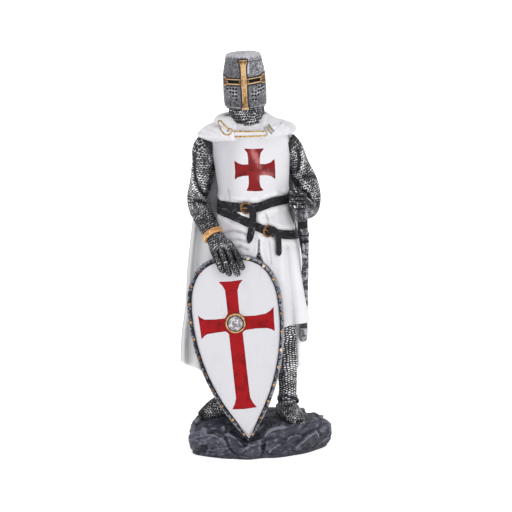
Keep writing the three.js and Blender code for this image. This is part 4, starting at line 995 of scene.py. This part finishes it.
def makeHands():
    flat = mailLimb(Shell(), hand["palm"], 5.0, side=(0.35, 1, 1), pitch=0.95, shade=-0.12)
    for stations in [*hand["fingers"], hand["thumb"]]:
        sized = [[*p, hand["fingerRadius"] * share] for p, share in zip(stations, hand["fingerShares"])]
        mailLimb(flat, sized, 1.8, pitch=0.9, shade=-0.12, rim=(1, 0, 0))
    flat.finish("openHand", "knight", "mail")

    def around(stations, lift=0.0):  # stations given from the fist's middle
        x, y, z = fist["middle"]
        return [[x + dx, y + dy, z + lift + dz, half] for dx, dy, dz, half in stations]

    closed = mailLimb(Shell(), around(fist["core"]), 3.6, pitch=0.95, shade=-0.3)
    bent = {"side": (0, 0, 1), "pitch": 0.72, "rim": (0, 0, 1.2), "loose": True}
    for i in range(4):
        mailLimb(closed, around(fist["finger"], (i - 1.6) * fist["fingerSpacing"]), 1.4, shade=-0.05, **bent)
    mailLimb(closed, around(fist["thumb"]), 1.5, shade=0.05, **bent)
    closed.finish("swordFist", "knight", "mail")


makeHands()


# Great helm

helm = {"foot": (-6.9, -1.0, 166.6), "tilt": -3.0, "turn": -0.5, "around": 300, "rows": 112,
        "rimRows": 14, "lidRows": 12, "top": 27.7, "keel": 0.7, "bar": 1.3, "barTop": 25.4, "rise": 0.5,
        "sight": 14.6, "bandHalf": 1.5, "bandEnd": 10.5, "slitHalf": 0.84, "slitDepth": 1.3,
        "slitMiddle": 5.35, "slitReach": 2.95, "holeRadius": 0.5, "holeDepth": 0.55, "seam": 1.6}
helmRows = [  # height, half width, depth near and far
    [0, 10.1, 10.8, 10.6], [1.2, 10.8, 11.6, 11.2], [6, 11.1, 12.2, 11.8], [13, 11.1, 12.4, 12],
    [18, 10.8, 11.7, 11.6], [23, 9.9, 10.2, 10.6], [26.6, 9.1, 8.5, 9.5], [27.4, 8.8, 8.2, 9.2],
    [27.7, 8.0, 7.4, 8.5]]
breathingHoles = [  # x and height
    (7.7, 11.1), (9.1, 11.3), (9.7, 9.7), (8.6, 9.3), (7.2, 9.3), (5.8, 8.7), (7.2, 7.3), (4.2, 7.2),
    (5.7, 7.0), (4.2, 5.1), (5.7, 4.9), (4.3, 9.0), (-8.9, 10.8), (-7.4, 11.0), (-5.9, 11.0), (-4.4, 11.0),
    (-7.5, 9.3), (-5.9, 9.2), (-4.4, 9.2), (-6.1, 7.3), (-4.5, 7.3), (-4.5, 5.4)]


def onHelm(x, y, z):
    tilt, turn = math.radians(helm["tilt"]), math.radians(helm["turn"])
    x, y = x * math.cos(turn) - y * math.sin(turn), x * math.sin(turn) + y * math.cos(turn)
    x, z = x * math.cos(tilt) + z * math.sin(tilt), z * math.cos(tilt) - x * math.sin(tilt)
    footX, footY, footZ = helm["foot"]
    return onFigure(footX + x, footY + y, footZ + z)


def makeHelm():
    turned = anglesOf(helm["around"])
    angle = (turned - 0.16 * np.sin(2 * (turned - front)))[None, :]  # closer columns in front and behind
    level = np.concatenate([between(0, 26.5, helm["rows"]), between(26.6, helm["top"], helm["rimRows"]),
                            np.full(helm["lidRows"], helm["top"])])[:, None]
    lid = between(0.94, 0.06, helm["lidRows"])  # shares of the width
    inward = np.concatenate([np.ones(helm["rows"] + helm["rimRows"]), lid])[:, None]
    wide, near, far = readTable(helmRows, level)
    keel = helm["keel"] * bell(np.cos(angle), 0.22) * (np.sin(angle) < 0) * (1 - smoothStep(level, 22, 27))
    distance = (reach(angle, wide, wide, near, far, 2.1) + keel) * inward
    x, y, z = np.broadcast_arrays(distance * np.cos(angle), distance * np.sin(angle), level)
    base = np.stack([x, y, z], -1)
    ahead = (np.sin(angle) < -0.05) * np.ones_like(x)
    dent, edge = chips(base, 2.6, 3)
    rise = 0.03 * dent - 0.02 * bell(edge, 0.5) + 0.03 * lumps(base, 1.6, 4) + 0.14 * lumps(base, 4.5, 9)
    rise = rise * inward

    off = np.abs(x)
    barHalf = helm["bar"] + 0.75 * smoothStep(z, 22.0, 24.4) + 0.5 * smoothStep(2.2 - z, 0, 1.6)
    barHalf = barHalf + 0.25 * bell(z - helm["sight"], 2.2)
    bar = np.minimum(barHalf - off, np.minimum(z - 0.15, helm["barTop"] - z + 0.35 * lumps(base, 1.2, 8)))
    sight = helm["sight"] + 0.05 * np.maximum(x, 0)
    bandHalf = helm["bandHalf"] + 0.9 * smoothStep(off, 8.5, 9.4)
    band = np.minimum(bandHalf - np.abs(z - sight), helm["bandEnd"] - off)
    cross = np.maximum(bar, band)  # distance inside the raised cross
    slit = np.minimum(helm["slitHalf"] - np.abs(z - sight - 0.1),
                      helm["slitReach"] - np.abs(off - helm["slitMiddle"]))
    holes = np.min([np.hypot(x - holeX, z - holeZ) for holeX, holeZ in breathingHoles], 0)

    rise = rise * (1 - 0.6 * smoothStep(cross, -0.1, 0.2) * ahead)
    raised = helm["rise"] * smoothStep(cross, -0.12, 0.14) + 0.22 * smoothStep(bar, -0.1, 0.5)
    raised = raised + 0.16 * bell(band - 0.3, 0.24) * (bar < 0)
    raised = raised - helm["slitDepth"] * smoothStep(slit, -0.06, 0.14)
    raised = raised - helm["holeDepth"] * bell(holes, helm["holeRadius"])
    rise = rise + ahead * raised + 0.10 * smoothStep(z, 24.6, 25.2) * inward
    joint = np.abs(turnFrom(angle, math.pi / 2)) * 11  # mm from the middle of the back
    rise = rise - 0.3 * bell(joint - helm["seam"], 0.3) * (np.sin(angle) > 0)
    local = pushed(base, rise)
    grid = onHelm(local[..., 0], local[..., 1], local[..., 2])

    onBar, onBand = smoothStep(bar, -0.05, 0.1), smoothStep(band, -0.05, 0.1)
    gilt = ahead * np.maximum(onBar, onBand)
    dark = ahead * np.maximum(smoothStep(slit, -0.1, 0.08), bell(holes, helm["holeRadius"] * 1.2))
    # Painted light and shade: the gilt is darker low down and lighter higher up
    washAndShading = gilt * (0.03 * smoothStep(13 - z, 0, 6) - 0.045 * smoothStep(z, 17, 22))
    # Darker lines hug the raised cross, the slits and the holes
    grimeAndShading = 0.14 * bell(cross + 0.35, 0.35) + 0.05 * bell(bar - 0.05, 0.3) + 0.10 * bell(slit + 0.25, 0.3)
    grimeAndShading = grimeAndShading + 0.10 * smoothStep(z, 22.0, 24.5) * onBar + 0.04 * bell(holes, 0.9)
    grimeAndShading = grimeAndShading + 0.035 * onBand * smoothStep(-bar, 0, 0.3)
    # Painted highlights: a bright line down the bar and one beside it
    grimeAndShading = grimeAndShading - 0.05 * bell(off - 0.2, 0.7) * smoothStep(bar, 0, 0.2)  # a bright line down the bar
    grimeAndShading = grimeAndShading - 0.07 * bell(x - 2.4, 0.7) * smoothStep(z, 17, 20)  # and one beside it
    # Painted shade low down and on the left of the steel, painted light on the lid and the upper right
    washAndShading = washAndShading + ahead * grimeAndShading + 0.022 * smoothStep(8 - z, 0, 7) + 0.012 * smoothStep(-x, 0, 8)
    washAndShading = washAndShading - 0.05 * smoothStep(z, 25.8, 26.8) - 0.02 * smoothStep(x, 1, 7) * smoothStep(z, 14, 18)
    shell = Shell().add(grid, hollow=hollowOf(grid, 2) + washAndShading, gilt=gilt, dark=dark)
    shell.finish("greatHelm", "knight", "steel")


makeHelm()


# Belts, buckles and straps

# Each buckle has its angle, height and roll, each point of a tongue its angle, height and distance from the
# cloth, and each ankle strap its ends and radius, from the ankle.
belt = {"width": 4.9, "thickness": 1.0, "inner": -1.2, "around": 420, "groove": 0.16,
        "ring": 2.7, "wire": 0.6, "tongue": 3.7, "tongueThickness": 0.75,
        "waistPoint": 0.16, "swordPoint": 0.05, "ankleWidth": 1.2,
        "buckles": {"waistBuckle": (-16, surcoat["waist"], 0.1), "swordBuckle": (28, 103.0, -0.5)},
        "waistTongue": [(-14, 115.0, 0.9), (-9, 115.3, 1.5), (-4.5, 115.2, 1.7), (-1.5, 113.2, 1.9),
                        (-1.5, 110.4, 1.9), (-3, 105.8, 2.1), (-7.5, 100.6, 1.0), (-11, 96.6, 0.9)],
        "swordTongue": [(28, 104.0, 1.2), (35, 103.6, 2.1), (41, 100.8, 1.8), (43.5, 96, 1.2),
                        (43.5, 89.6, 0.8)],
        "wrist": [(-24.5, -7.1, 100.5), (-23.3, -8.6, 98.6)], "wristWidth": 2.9, "wristRadius": 5.8,
        "ankles": [((0.2, 0.2, 8.4), (0.1, 0, 11.0), 5.45), ((0.2, -2.0, 6.6), (0.8, 0.6, 10.2), 5.9)]}


def strapSection(half, thick, inner):  # offset across the strap and distance from what it lies on
    t = np.concatenate([between(-1, -0.86, 4), between(-0.8, 0.8, 15), between(0.86, 1, 4)])
    edge = np.clip((np.abs(t) - 0.84) / 0.16, 0, 1)
    face = [(half * v, thick * (1 - 0.55 * e ** 2)) for v, e in zip(t, edge)]
    return np.array(face + [(half, inner), (-half, inner)])


def makeBelt(name, middleAt):
    section = strapSection(belt["width"] / 2, belt["thickness"], belt["inner"])
    angle = anglesOf(belt["around"])[None, :]
    offset, outward = section[:, :1], section[:, 1:]
    grid = surcoatPoint(angle, middleAt(angle) + offset, outward)
    wornAndShading = 0.14 * lumps(grid * (1, 1, 1.6), 1.5, 5) + 0.12 * lumps(grid, 4, 2)
    groove = belt["groove"] * bell(np.abs(offset) - belt["width"] * 0.36, 0.22)
    grid = surcoatPoint(angle, middleAt(angle) + offset, outward + np.where(outward > 0, wornAndShading - groove, 0))
    shell = Shell().add(grid, along=True, ends=("", ""), hollow=hollowOf(grid, 1, along=True))
    shell.finish(name, "knight", "leather")


def ringGrid(place, normal, radius, wire, roll):
    side = unit(np.cross((0, 0, 1.0), normal))
    up = np.cross(normal, side)
    side, up = side * math.cos(roll) + up * math.sin(roll), up * math.cos(roll) - side * math.sin(roll)
    a, b = anglesOf(60)[:, None], anglesOf(12)[None, :]
    out = radius + wire * np.cos(b)
    return (place + (out * np.cos(a))[..., None] * side + (out * np.sin(a))[..., None] * up
            + (wire * np.sin(b) + 0 * a)[..., None] * normal)


def rodGrid(start, end, thick):
    t = between(0, 1, 8)
    radius = (thick * np.sqrt(np.clip(1 - (2 * t - 1) ** 8, 0.05, 1)))[:, None, None]
    along = unit(end - start)
    side = unit(np.cross(along, (0.3, 0.2, 1.0)))
    a = anglesOf(10)[None, :, None]
    around = np.cos(a) * side + np.sin(a) * np.cross(along, side)
    return (start + (end - start) * t[:, None])[:, None] + radius * around


def makeBuckle(name, degrees, height, roll):
    angle = front + math.radians(degrees)
    place = surcoatPoint(np.array(angle), np.array(height), belt["thickness"] + 0.15)
    normal = np.array((math.cos(angle), math.sin(angle), 0))
    side, up = np.array((-math.sin(angle), math.cos(angle), 0)), np.array((0, 0, 1))
    pin = belt["ring"] * (side * math.cos(roll) + up * math.sin(roll))
    tip = place + pin + 0.25 * math.cos(roll) * side + 0.45 * normal
    shell = Shell().add(ringGrid(place, normal, belt["ring"], belt["wire"], roll), along=True,
                        ends=("", ""), gilt=1.0)
    shell.add(rodGrid(place - pin, tip, belt["wire"] * 0.7), gilt=1.0).finish(name, "knight", "gold")


def makeTongue(name, stations, point):  # the hanging end of a belt; the point is its share of the length
    degrees, height, outward = (np.array(v, float) for v in zip(*stations))
    angle = front + np.radians(degrees)
    at = between(0, 1, 60)
    path = curvePoints(surcoatPoint(angle, height, outward), at)
    tangent = unit(np.gradient(path, axis=0))
    stops = between(0, 1, len(angle))
    normal = np.stack([np.interp(at, stops, np.cos(angle)), np.interp(at, stops, np.sin(angle)), 0 * at], -1)
    side = unit(np.cross(tangent, normal))
    normal = np.cross(side, tangent)
    shape = np.clip((1 - at) / point, 0, 1)
    half = belt["tongue"] / 2 * np.sqrt(np.clip(1 - (1 - shape) ** 2, 0.02, 1))
    section = strapSection(1.0, belt["tongueThickness"], -0.25)
    grid = (path[:, None] + (half[:, None] * section[:, 0])[..., None] * side[:, None]
            + (section[:, 1] + 0 * at[:, None])[..., None] * normal[:, None])
    grid = pushed(grid, 0.10 * lumps(grid, 1.4, 4) + 0.08 * lumps(grid, 4, 2))
    Shell().add(grid, hollow=hollowOf(grid, 1)).finish(name, "knight", "leather")


def limbBand(shell, a, b, width, radius, sides=60, rows=10, seams=(), lift=0.0):  # around a limb from a to b
    a, b = np.array(a, float), np.array(b, float)
    middle, half = (a + b) / 2, unit(b - a) * width / 2
    grid, angle, _ = limbGrid([[*(middle + half * step), radius] for step in (-1, 0, 1)], sides, rows)
    t = between(-1, 1, rows)[:, None]
    rim = 1 - 0.35 * np.clip((np.abs(t) - 0.8) / 0.2, 0, 1)
    middle = grid.mean(1, keepdims=True)
    grid = middle + (grid - middle) * (0.9 + 0.1 * rim[..., None])
    grid = pushed(grid, 0.1 * lumps(grid, 1.6, 3))
    for seam in seams:
        grid = pushed(grid, -0.4 * bell(turnFrom(angle[None, :], seam), 0.05) + 0 * t)
    shell.add(grid, hollow=hollowOf(grid, 1) - lift)


def makeStraps():
    makeBelt("waistBelt", waistLine)
    makeBelt("swordBelt", swordLine)
    for name, place in belt["buckles"].items():
        makeBuckle(name, *place)
    makeTongue("waistTongue", belt["waistTongue"], belt["waistPoint"])
    makeTongue("swordTongue", belt["swordTongue"], belt["swordPoint"])
    wrist, ankles = Shell(), Shell()
    limbBand(wrist, *belt["wrist"], belt["wristWidth"], belt["wristRadius"], 120, 16, seams=(0.9, 2.6),
             lift=0.005)
    wrist.finish("wristBand", "knight", "band")
    for leg in legs:
        x, y, _ = leg["line"][4][:3]
        for low, high, radius in belt["ankles"]:
            a, b = ((x + dx, y + dy, z) for dx, dy, z in (low, high))
            limbBand(ankles, a, b, belt["ankleWidth"], radius)
    ankles.finish("ankleStraps", "knight", "leather")


makeStraps()


# Shield

shield = {"width": 50.0, "thickness": 2.6, "rimWidth": 2.4, "rimRise": 0.9, "curve": 140.0,
          "tilt": 6.0, "lean": 2.0, "grip": 90.4, "widest": 0.69, "rows": 190, "across": 96,
          "plank": 8.4, "plankLine": 30.2, "grain": 0.05, "rimPoints": 440, "rivet": 0.86,
          "rivetRise": 0.55, "spacing": 9.7, "underFingers": (-13, 8, 0.93),
          "boss": 5.3, "bossHeight": 2.9, "bossMiddle": (-0.6, 0.642), "bossRing": 1.2}
tiltAngle, leanAngle = math.radians(shield["tilt"]), math.radians(shield["lean"])
shieldRise = math.cos(tiltAngle) * math.cos(leanAngle)  # the height gained for each mm along the shield
shieldLength = (figure["plinthHeight"] + shield["grip"] - figure["shieldTip"][2]) / shieldRise
shieldAcross = np.array([math.cos(tiltAngle), 0, math.sin(tiltAngle)])
shieldUp = np.array([-math.sin(tiltAngle) * math.cos(leanAngle), math.sin(leanAngle), shieldRise])
shieldOut = np.cross(shieldAcross, shieldUp)
shieldPlace = np.array(figure["shieldTip"]) + (0, shield["thickness"] / 2, 0)
shieldCross = [  # painted long cross: distance from the middle line and height above the tip
    (-7.3, 86.8), (-0.8, 86.4), (5.7, 86.6), (3.6, 84.4), (2.3, 81.2), (2.1, 75), (2.1, 67.5), (4.7, 67.3),
    (10, 66.9), (15.6, 67.3), (18.2, 68.6), (20.1, 70.4), (19.6, 64), (19.4, 57.2), (17.8, 58.6),
    (15.5, 59.5), (10, 60.0), (4.3, 59.8), (2.6, 58.8), (2.7, 50), (2.7, 40), (2.8, 30), (2.9, 23.6),
    (4.1, 20.6), (5.9, 18.0), (-0.6, 17.7), (-7.2, 18.1), (-5.6, 20.8), (-4.6, 23.8), (-4.6, 32),
    (-4.6, 45), (-4.6, 58.6), (-6.1, 60.1), (-11, 59.9), (-15.8, 59.5), (-17.6, 58.5), (-19.2, 56.9),
    (-19.4, 63), (-19.7, 70.1), (-18.4, 68.5), (-16.6, 67.4), (-11, 67.0), (-5.8, 67.1), (-4.1, 69.5),
    (-4.1, 76), (-4.2, 82.0), (-5.4, 84.6)]


def kiteHalfWidth(height):
    half, widest = shield["width"] / 2, shield["widest"] * shieldLength
    arc = (widest ** 2 + half ** 2) / (2 * half)
    below = np.sqrt(np.maximum(0, arc ** 2 - (widest - height) ** 2)) - (arc - half)
    t = np.clip((height - widest) / (shieldLength - widest), 0, 1)
    return np.where(height <= widest, below, half * np.maximum(0, 1 - t ** 2.5) ** 0.4)


def kiteOutline(count):  # evenly spaced round the edge, with the outward direction and the length of the edge
    widest = shield["widest"] * shieldLength
    lower = between(0, widest, 200)[:-1]
    upper = widest + (shieldLength - widest) * np.sin(between(0, 1, 260) * math.pi / 2)
    heights = np.concatenate([lower, upper])
    right = np.stack([kiteHalfWidth(heights), heights], -1)
    loop = np.concatenate([right, (right * (-1, 1))[::-1][1:]])
    step = np.concatenate([[0], np.cumsum(np.linalg.norm(np.diff(loop, axis=0), axis=1))])
    at = between(0, step[-1], count + 1)[:-1]
    edge = np.stack([np.interp(at, step, loop[:, 0]), np.interp(at, step, loop[:, 1])], -1)
    along = unit(np.roll(edge, -1, 0) - np.roll(edge, 1, 0))
    return edge, np.stack([along[:, 1], -along[:, 0]], -1), step[-1]


def onShield(w, h, out, curve=shield["curve"]):  # from the shield's own directions to the frame
    w, h, out = np.broadcast_arrays(w, h, out)
    level = out - w ** 2 / (2 * curve)
    return shieldPlace + w[..., None] * shieldAcross + h[..., None] * shieldUp + level[..., None] * shieldOut


def makeBoard():
    even = between(0.3, shieldLength - 0.15, shield["rows"])
    closer = shieldLength * (0.5 - 0.5 * np.cos(between(0.004, 0.996, shield["rows"]) * math.pi))
    height = (0.55 * closer + 0.45 * even)[:, None]  # closer rows near both ends
    share = between(-1, 1, shield["across"])[None, :]
    w, h = np.broadcast_arrays(share * np.maximum(kiteHalfWidth(height) - 0.9, 0.05), height)
    warp = 0.35 * lumps(np.stack([w, h * 0.12, 0 * w], -1), 3, 3)
    groove = bell(np.abs((w + shield["plankLine"] + warp) % shield["plank"] - shield["plank"] / 2), 0.16)
    grain = lumps(np.stack([w, h * 0.05, 0 * w], -1), 0.8, 5)
    grain = shield["grain"] * (grain + lumps(np.stack([w, h * 0.03, 0 * w], -1), 2.2, 6))
    face = onShield(w, h, shield["thickness"] - 0.05 + grain)
    grid = backed(face, onShield(w, h, 0.6 * grain - 0.25 * groove))
    cross = backed(np.clip(insideBy(shieldCross, w, h), noCross, 3), np.full(w.shape, noCross))
    # Painted shade on the board where it meets the rim's step
    besideRim = 0.12 * bell(kiteHalfWidth(h) - np.abs(w) - 2.5, 0.6)
    hollow = backed(hollowOf(face, 2, across=False) + besideRim, np.full(w.shape, 0.03))
    shell = Shell().add(grid, ends=("strip", "strip"), cross=cross, planks=backed(0 * groove, groove),
                        hollow=hollow)
    shell.finish("shieldBoard", "kite_shield", "shield")


def makeRim():
    edge, outward, length = kiteOutline(shield["rimPoints"])
    taper = (0.45 + 0.55 * smoothStep(edge[:, 1], 0, 0.12 * shieldLength))[:, None]
    wide, top = shield["rimWidth"], shield["thickness"] + shield["rimRise"]
    side = shield["thickness"] - 0.2
    section = [(0.0, -0.1), (0.0, 1.2), (0.0, side), (0.12, top - 0.55), (0.4, top - 0.2), (0.8, top - 0.03),
               (1.2, top), (1.6, top - 0.03), (2.0, top - 0.2), (2.28, top - 0.55), (wide, side), (wide, 2.0),
               (wide, 0.9), (wide, -0.1), (1.2, -0.25)]
    inset, level = (np.array(v)[None, :] for v in zip(*section))
    place = edge[:, None] - outward[:, None] * (inset * taper)[..., None]
    grid = onShield(place[..., 0], place[..., 1], level)
    dent, gap = chips(grid, 2.4, 6)
    rise = 0.08 * dent + 0.10 * lumps(grid, 1.3, 2) - 0.05 * bell(gap, 0.3)
    grid = pushed(grid, np.where(level > side, rise, 0), along=True)
    # Painted shade along the inner edge where the rim steps down to the board, and the left of the rim
    # painted darker and its right lighter as painted light and shade; the outer edge is worn brighter
    wearAndShading = hollowOf(grid, 1, along=True) + 0.16 * smoothStep(inset, 1.6, 2.1) - 0.03 * bell(inset - 0.5, 0.6)
    wearAndShading = wearAndShading + 0.02 * smoothStep(-grid[..., 0], 18, 28) - 0.02 * smoothStep(grid[..., 0], 2, 12)
    wearAndShading = wearAndShading + 0.03 * lumps(grid, 3, 12)
    Shell().add(grid, along=True, ends=("", ""), hollow=wearAndShading).finish("shieldRim", "kite_shield", "rim")

    rivets = Shell()
    number = max(6, round(length / shield["spacing"]))
    left, right, above = shield["underFingers"]
    dome, ring = between(0, 1, 7)[:, None] * math.pi / 2, anglesOf(16)[None, :]
    for i in range(number):
        pick = int((i + 0.5) / number * len(edge))
        x, h = edge[pick] - outward[pick] * shield["rimWidth"] / 2 * taper[pick]
        if h > above * shieldLength and left < x < right:
            continue
        radius = shield["rivet"] * (0.94 + 0.08 * math.sin(3.1 * i)) * np.cos(dome * 0.96)
        level = top - 0.12 + shield["rivetRise"] * np.sin(dome)
        tone = 0.04 * math.sin(7.3 * i) + (0.0 if x > 0 else 0.055)  # the left ones are darker
        rivets.add(onShield(x + radius * np.cos(ring), h + radius * np.sin(ring), level), hollow=tone)
    rivets.finish("shieldRivets", "kite_shield", "rivet")


def makeBoss():
    ring = anglesOf(96)[None, :]
    outer, inner = shield["boss"], shield["boss"] - shield["bossRing"]

    def turnedForm(radius, level):  # it isn't bent with the shield
        x, h = shield["bossMiddle"][0], shield["bossMiddle"][1] * shieldLength
        return onShield(x + radius * np.cos(ring), h + radius * np.sin(ring), shield["thickness"] + level,
                        math.inf)

    profile = np.array([(outer + 0.15, -0.6), (outer + 0.1, 0.4), (outer - 0.05, 1.0), (outer - 0.35, 1.4),
                        (outer - 0.7, 1.45), (outer - 1.0, 1.15), (inner - 0.1, 0.6)])
    collar = turnedForm(profile[:, :1], profile[:, 1:])
    collar = pushed(collar, 0.08 * lumps(collar, 1.2, 4))
    Shell().add(collar, hollow=hollowOf(collar, 1) + 0.05, gilt=1.0).finish("bossRing", "kite_shield", "gold")
    dome = between(0, 1, 26)[:, None] * math.pi / 2
    radius = inner * np.cos(dome * 0.99)
    skin = turnedForm(radius, 0.5 + (shield["bossHeight"] - 0.5) * np.sin(dome))
    skin = pushed(skin, 0.10 * lumps(skin, 1.8, 3) + 0.05 * lumps(skin, 0.9, 5))
    shell = Shell().add(skin, hollow=hollowOf(skin, 3) + 0.10 * smoothStep(radius, 3.4, 4.1))
    shell.finish("bossDome", "kite_shield", "dome")


makeBoard()
makeRim()
makeBoss()


# Sword in its scabbard

sword = {"scabbard": [[23.0, -10.8, 108.6], [23.2, -10.2, 104.4], [24.0, -8.6, 100], [24.2, -5.5, 86],
                      [24.1, -1.5, 66], [23.7, 2.4, 48], [23.5, 3.2, 42.4], [23.5, 3.3, 39.9],
                      [23.5, 3.3, 39.2]],
         "halves": [(2.3, 1.9), (2.1, 1.9), (1.95, 1.7), (1.9, 1.7), (1.9, 1.65), (2.1, 1.6), (2.15, 1.6),
                    (1.55, 1.2), (0.4, 0.4)],  # half width and depth at each of those points
         "guard": [[22.0, -11.4, 107.9, 2.4, 1.8], [22.0, -11.5, 108.8, 3.2, 2.4],
                   [22.0, -11.6, 111.4, 3.5, 2.7], [21.8, -11.7, 114, 3.3, 2.5],
                   [21.6, -11.7, 115.4, 2.3, 1.8]],
         "pommel": (20.4, -12.6, 122.6, 2.0), "locketEnd": 4.6, "tipCap": 8.0, "gilt": 0.72,
         "bands": [(99.4, 100.8), (95.9, 96.9)],
         "strap": [[20.9, -10.6, 108.4, 0.95, 0.8], [21.2, -9.9, 101, 0.85, 0.8],
                   [22.0, -8.2, 94.4, 0.6, 0.6], [22.5, -6.6, 89, 0.3, 0.3]]}


def makeSword():
    stations = [[*p, *half] for p, half in zip(sword["scabbard"], sword["halves"])]
    grid, angle, length = limbGrid(stations, 48, 160, power=2.3)
    along = length[:, None]
    cap = length[-1] - sword["tipCap"]
    rise = 0.10 * lumps(grid * (1, 1, 0.7), 1.6, 4) + 0.12 * lumps(grid, 4, 5)
    grid = pushed(grid, rise + 0.15 * smoothStep(along, cap - 0.5, cap))
    edge = smoothStep(np.cos(angle)[None, :], 0.75, 0.97) * smoothStep(along, 9, 14)
    gilt = sword["gilt"] * edge * (0.5 + 0.5 * lumps(grid, 3, 8))
    locket = smoothStep(along, sword["locketEnd"] + 0.2, sword["locketEnd"] - 0.2)
    hollow = 0.8 * hollowOf(grid, 2) + 0.12 * locket - 0.005 - 0.02 * smoothStep(along, cap - 1, cap + 1)
    Shell().add(grid, hollow=hollow, gilt=gilt).finish("scabbard", "sheathed_sword", "scabbard")

    bar = limbGrid(sword["guard"], 60, 50, power=2.8)[0]
    bar = pushed(bar, 0.14 * lumps(bar, 1.4, 3) + 0.12 * lumps(bar, 3, 6))
    x, y, z, r = sword["pommel"]
    rings = ((-1, 0.4), (-0.7, 0.72 * r), (0, r), (0.7, 0.72 * r), (1, 0.4))
    ball = [[x, y, z + step * r, half] for step, half in rings]
    hilt = Shell().add(bar, hollow=hollowOf(bar, 1)).add(limbGrid(ball, 32, 30)[0])
    hilt.finish("swordHilt", "sheathed_sword", "scabbard")

    hangers = Shell()  # straps that tie the scabbard to the sword belt
    for low, high in sword["bands"]:
        loop = [[24.0, -8.5, low, 2.1, 1.9], [24.0, -8.6, (low + high) / 2, 2.2, 2.0],
                [24.0, -8.7, high, 2.1, 1.9]]
        band = limbGrid(loop, 48, 8, power=2.3)[0]
        hangers.add(pushed(band, 0.08 * lumps(band, 1.5, 2)))
    strap = limbGrid(sword["strap"], 24, 60, power=2.6)[0]
    hangers.add(pushed(strap, 0.08 * lumps(strap, 1.5, 2)))
    hangers.finish("scabbardHangers", "sheathed_sword", "leather")


makeSword()


# Floor, light and camera

# In metres and watts. Each light has its place, width and power.
studio = {"floor": 3.0, "white": (0.92, 0.92, 0.92, 1), "glow": 0.42, "air": 1.0,
          "target": (-0.00158, 0.0, 0.1035), "distance": 1.5, "elevation": 12.5, "lens": 200.4,
          "lights": {"keyLight": ((0.55, -0.8, 0.65), 0.4, 2.0),
                     "fillLight": ((-0.25, -1.15, 0.16), 0.6, 1.9),
                     "topLight": ((0.0, 0.1, 1.1), 0.7, 1.6)}}


def makeStudio():
    size = studio["floor"]
    mesh = bpy.data.meshes.new("studioFloor")
    mesh.from_pydata([(-size, -size, 0), (size, -size, 0), (size, size, 0), (-size, size, 0)], [],
                     [(0, 1, 2, 3)])
    floor = bpy.data.objects.new("studioFloor", mesh)
    bpy.context.collection.objects.link(floor)
    paint = Paint("floorPaint", Base_Color=studio["white"], Roughness=0.9, Emission_Color=(1, 1, 1, 1),
                  Emission_Strength=studio["glow"])
    mesh.materials.append(paint.material)

    world = bpy.data.worlds.new("studioWorld")
    bpy.context.scene.world = world
    world.use_nodes = True
    background = world.node_tree.nodes["Background"]
    background.inputs["Color"].default_value = (1, 1, 1, 1)
    background.inputs["Strength"].default_value = studio["air"]
    target = Vector(studio["target"])
    for name, (place, wide, power) in studio["lights"].items():
        light = bpy.data.lights.new(name, "AREA")
        light.size, light.energy = wide, power
        lamp = bpy.data.objects.new(name, light)
        lamp.location = place
        lamp.rotation_euler = (target - Vector(place)).to_track_quat("-Z", "Y").to_euler()
        bpy.context.collection.objects.link(lamp)

    elevation = math.radians(studio["elevation"])
    camera = bpy.data.objects.new("camera", bpy.data.cameras.new("camera"))
    camera.data.lens, camera.data.sensor_width = studio["lens"], 36
    camera.data.clip_start, camera.data.clip_end = 0.05, 20
    camera.location = target + studio["distance"] * Vector((0, -math.cos(elevation), math.sin(elevation)))
    camera.rotation_euler = (target - camera.location).to_track_quat("-Z", "Y").to_euler()
    bpy.context.collection.objects.link(camera)
    bpy.context.scene.camera = camera
    bpy.context.scene.view_settings.view_transform = "Standard"
    print("studio ready")


makeStudio()
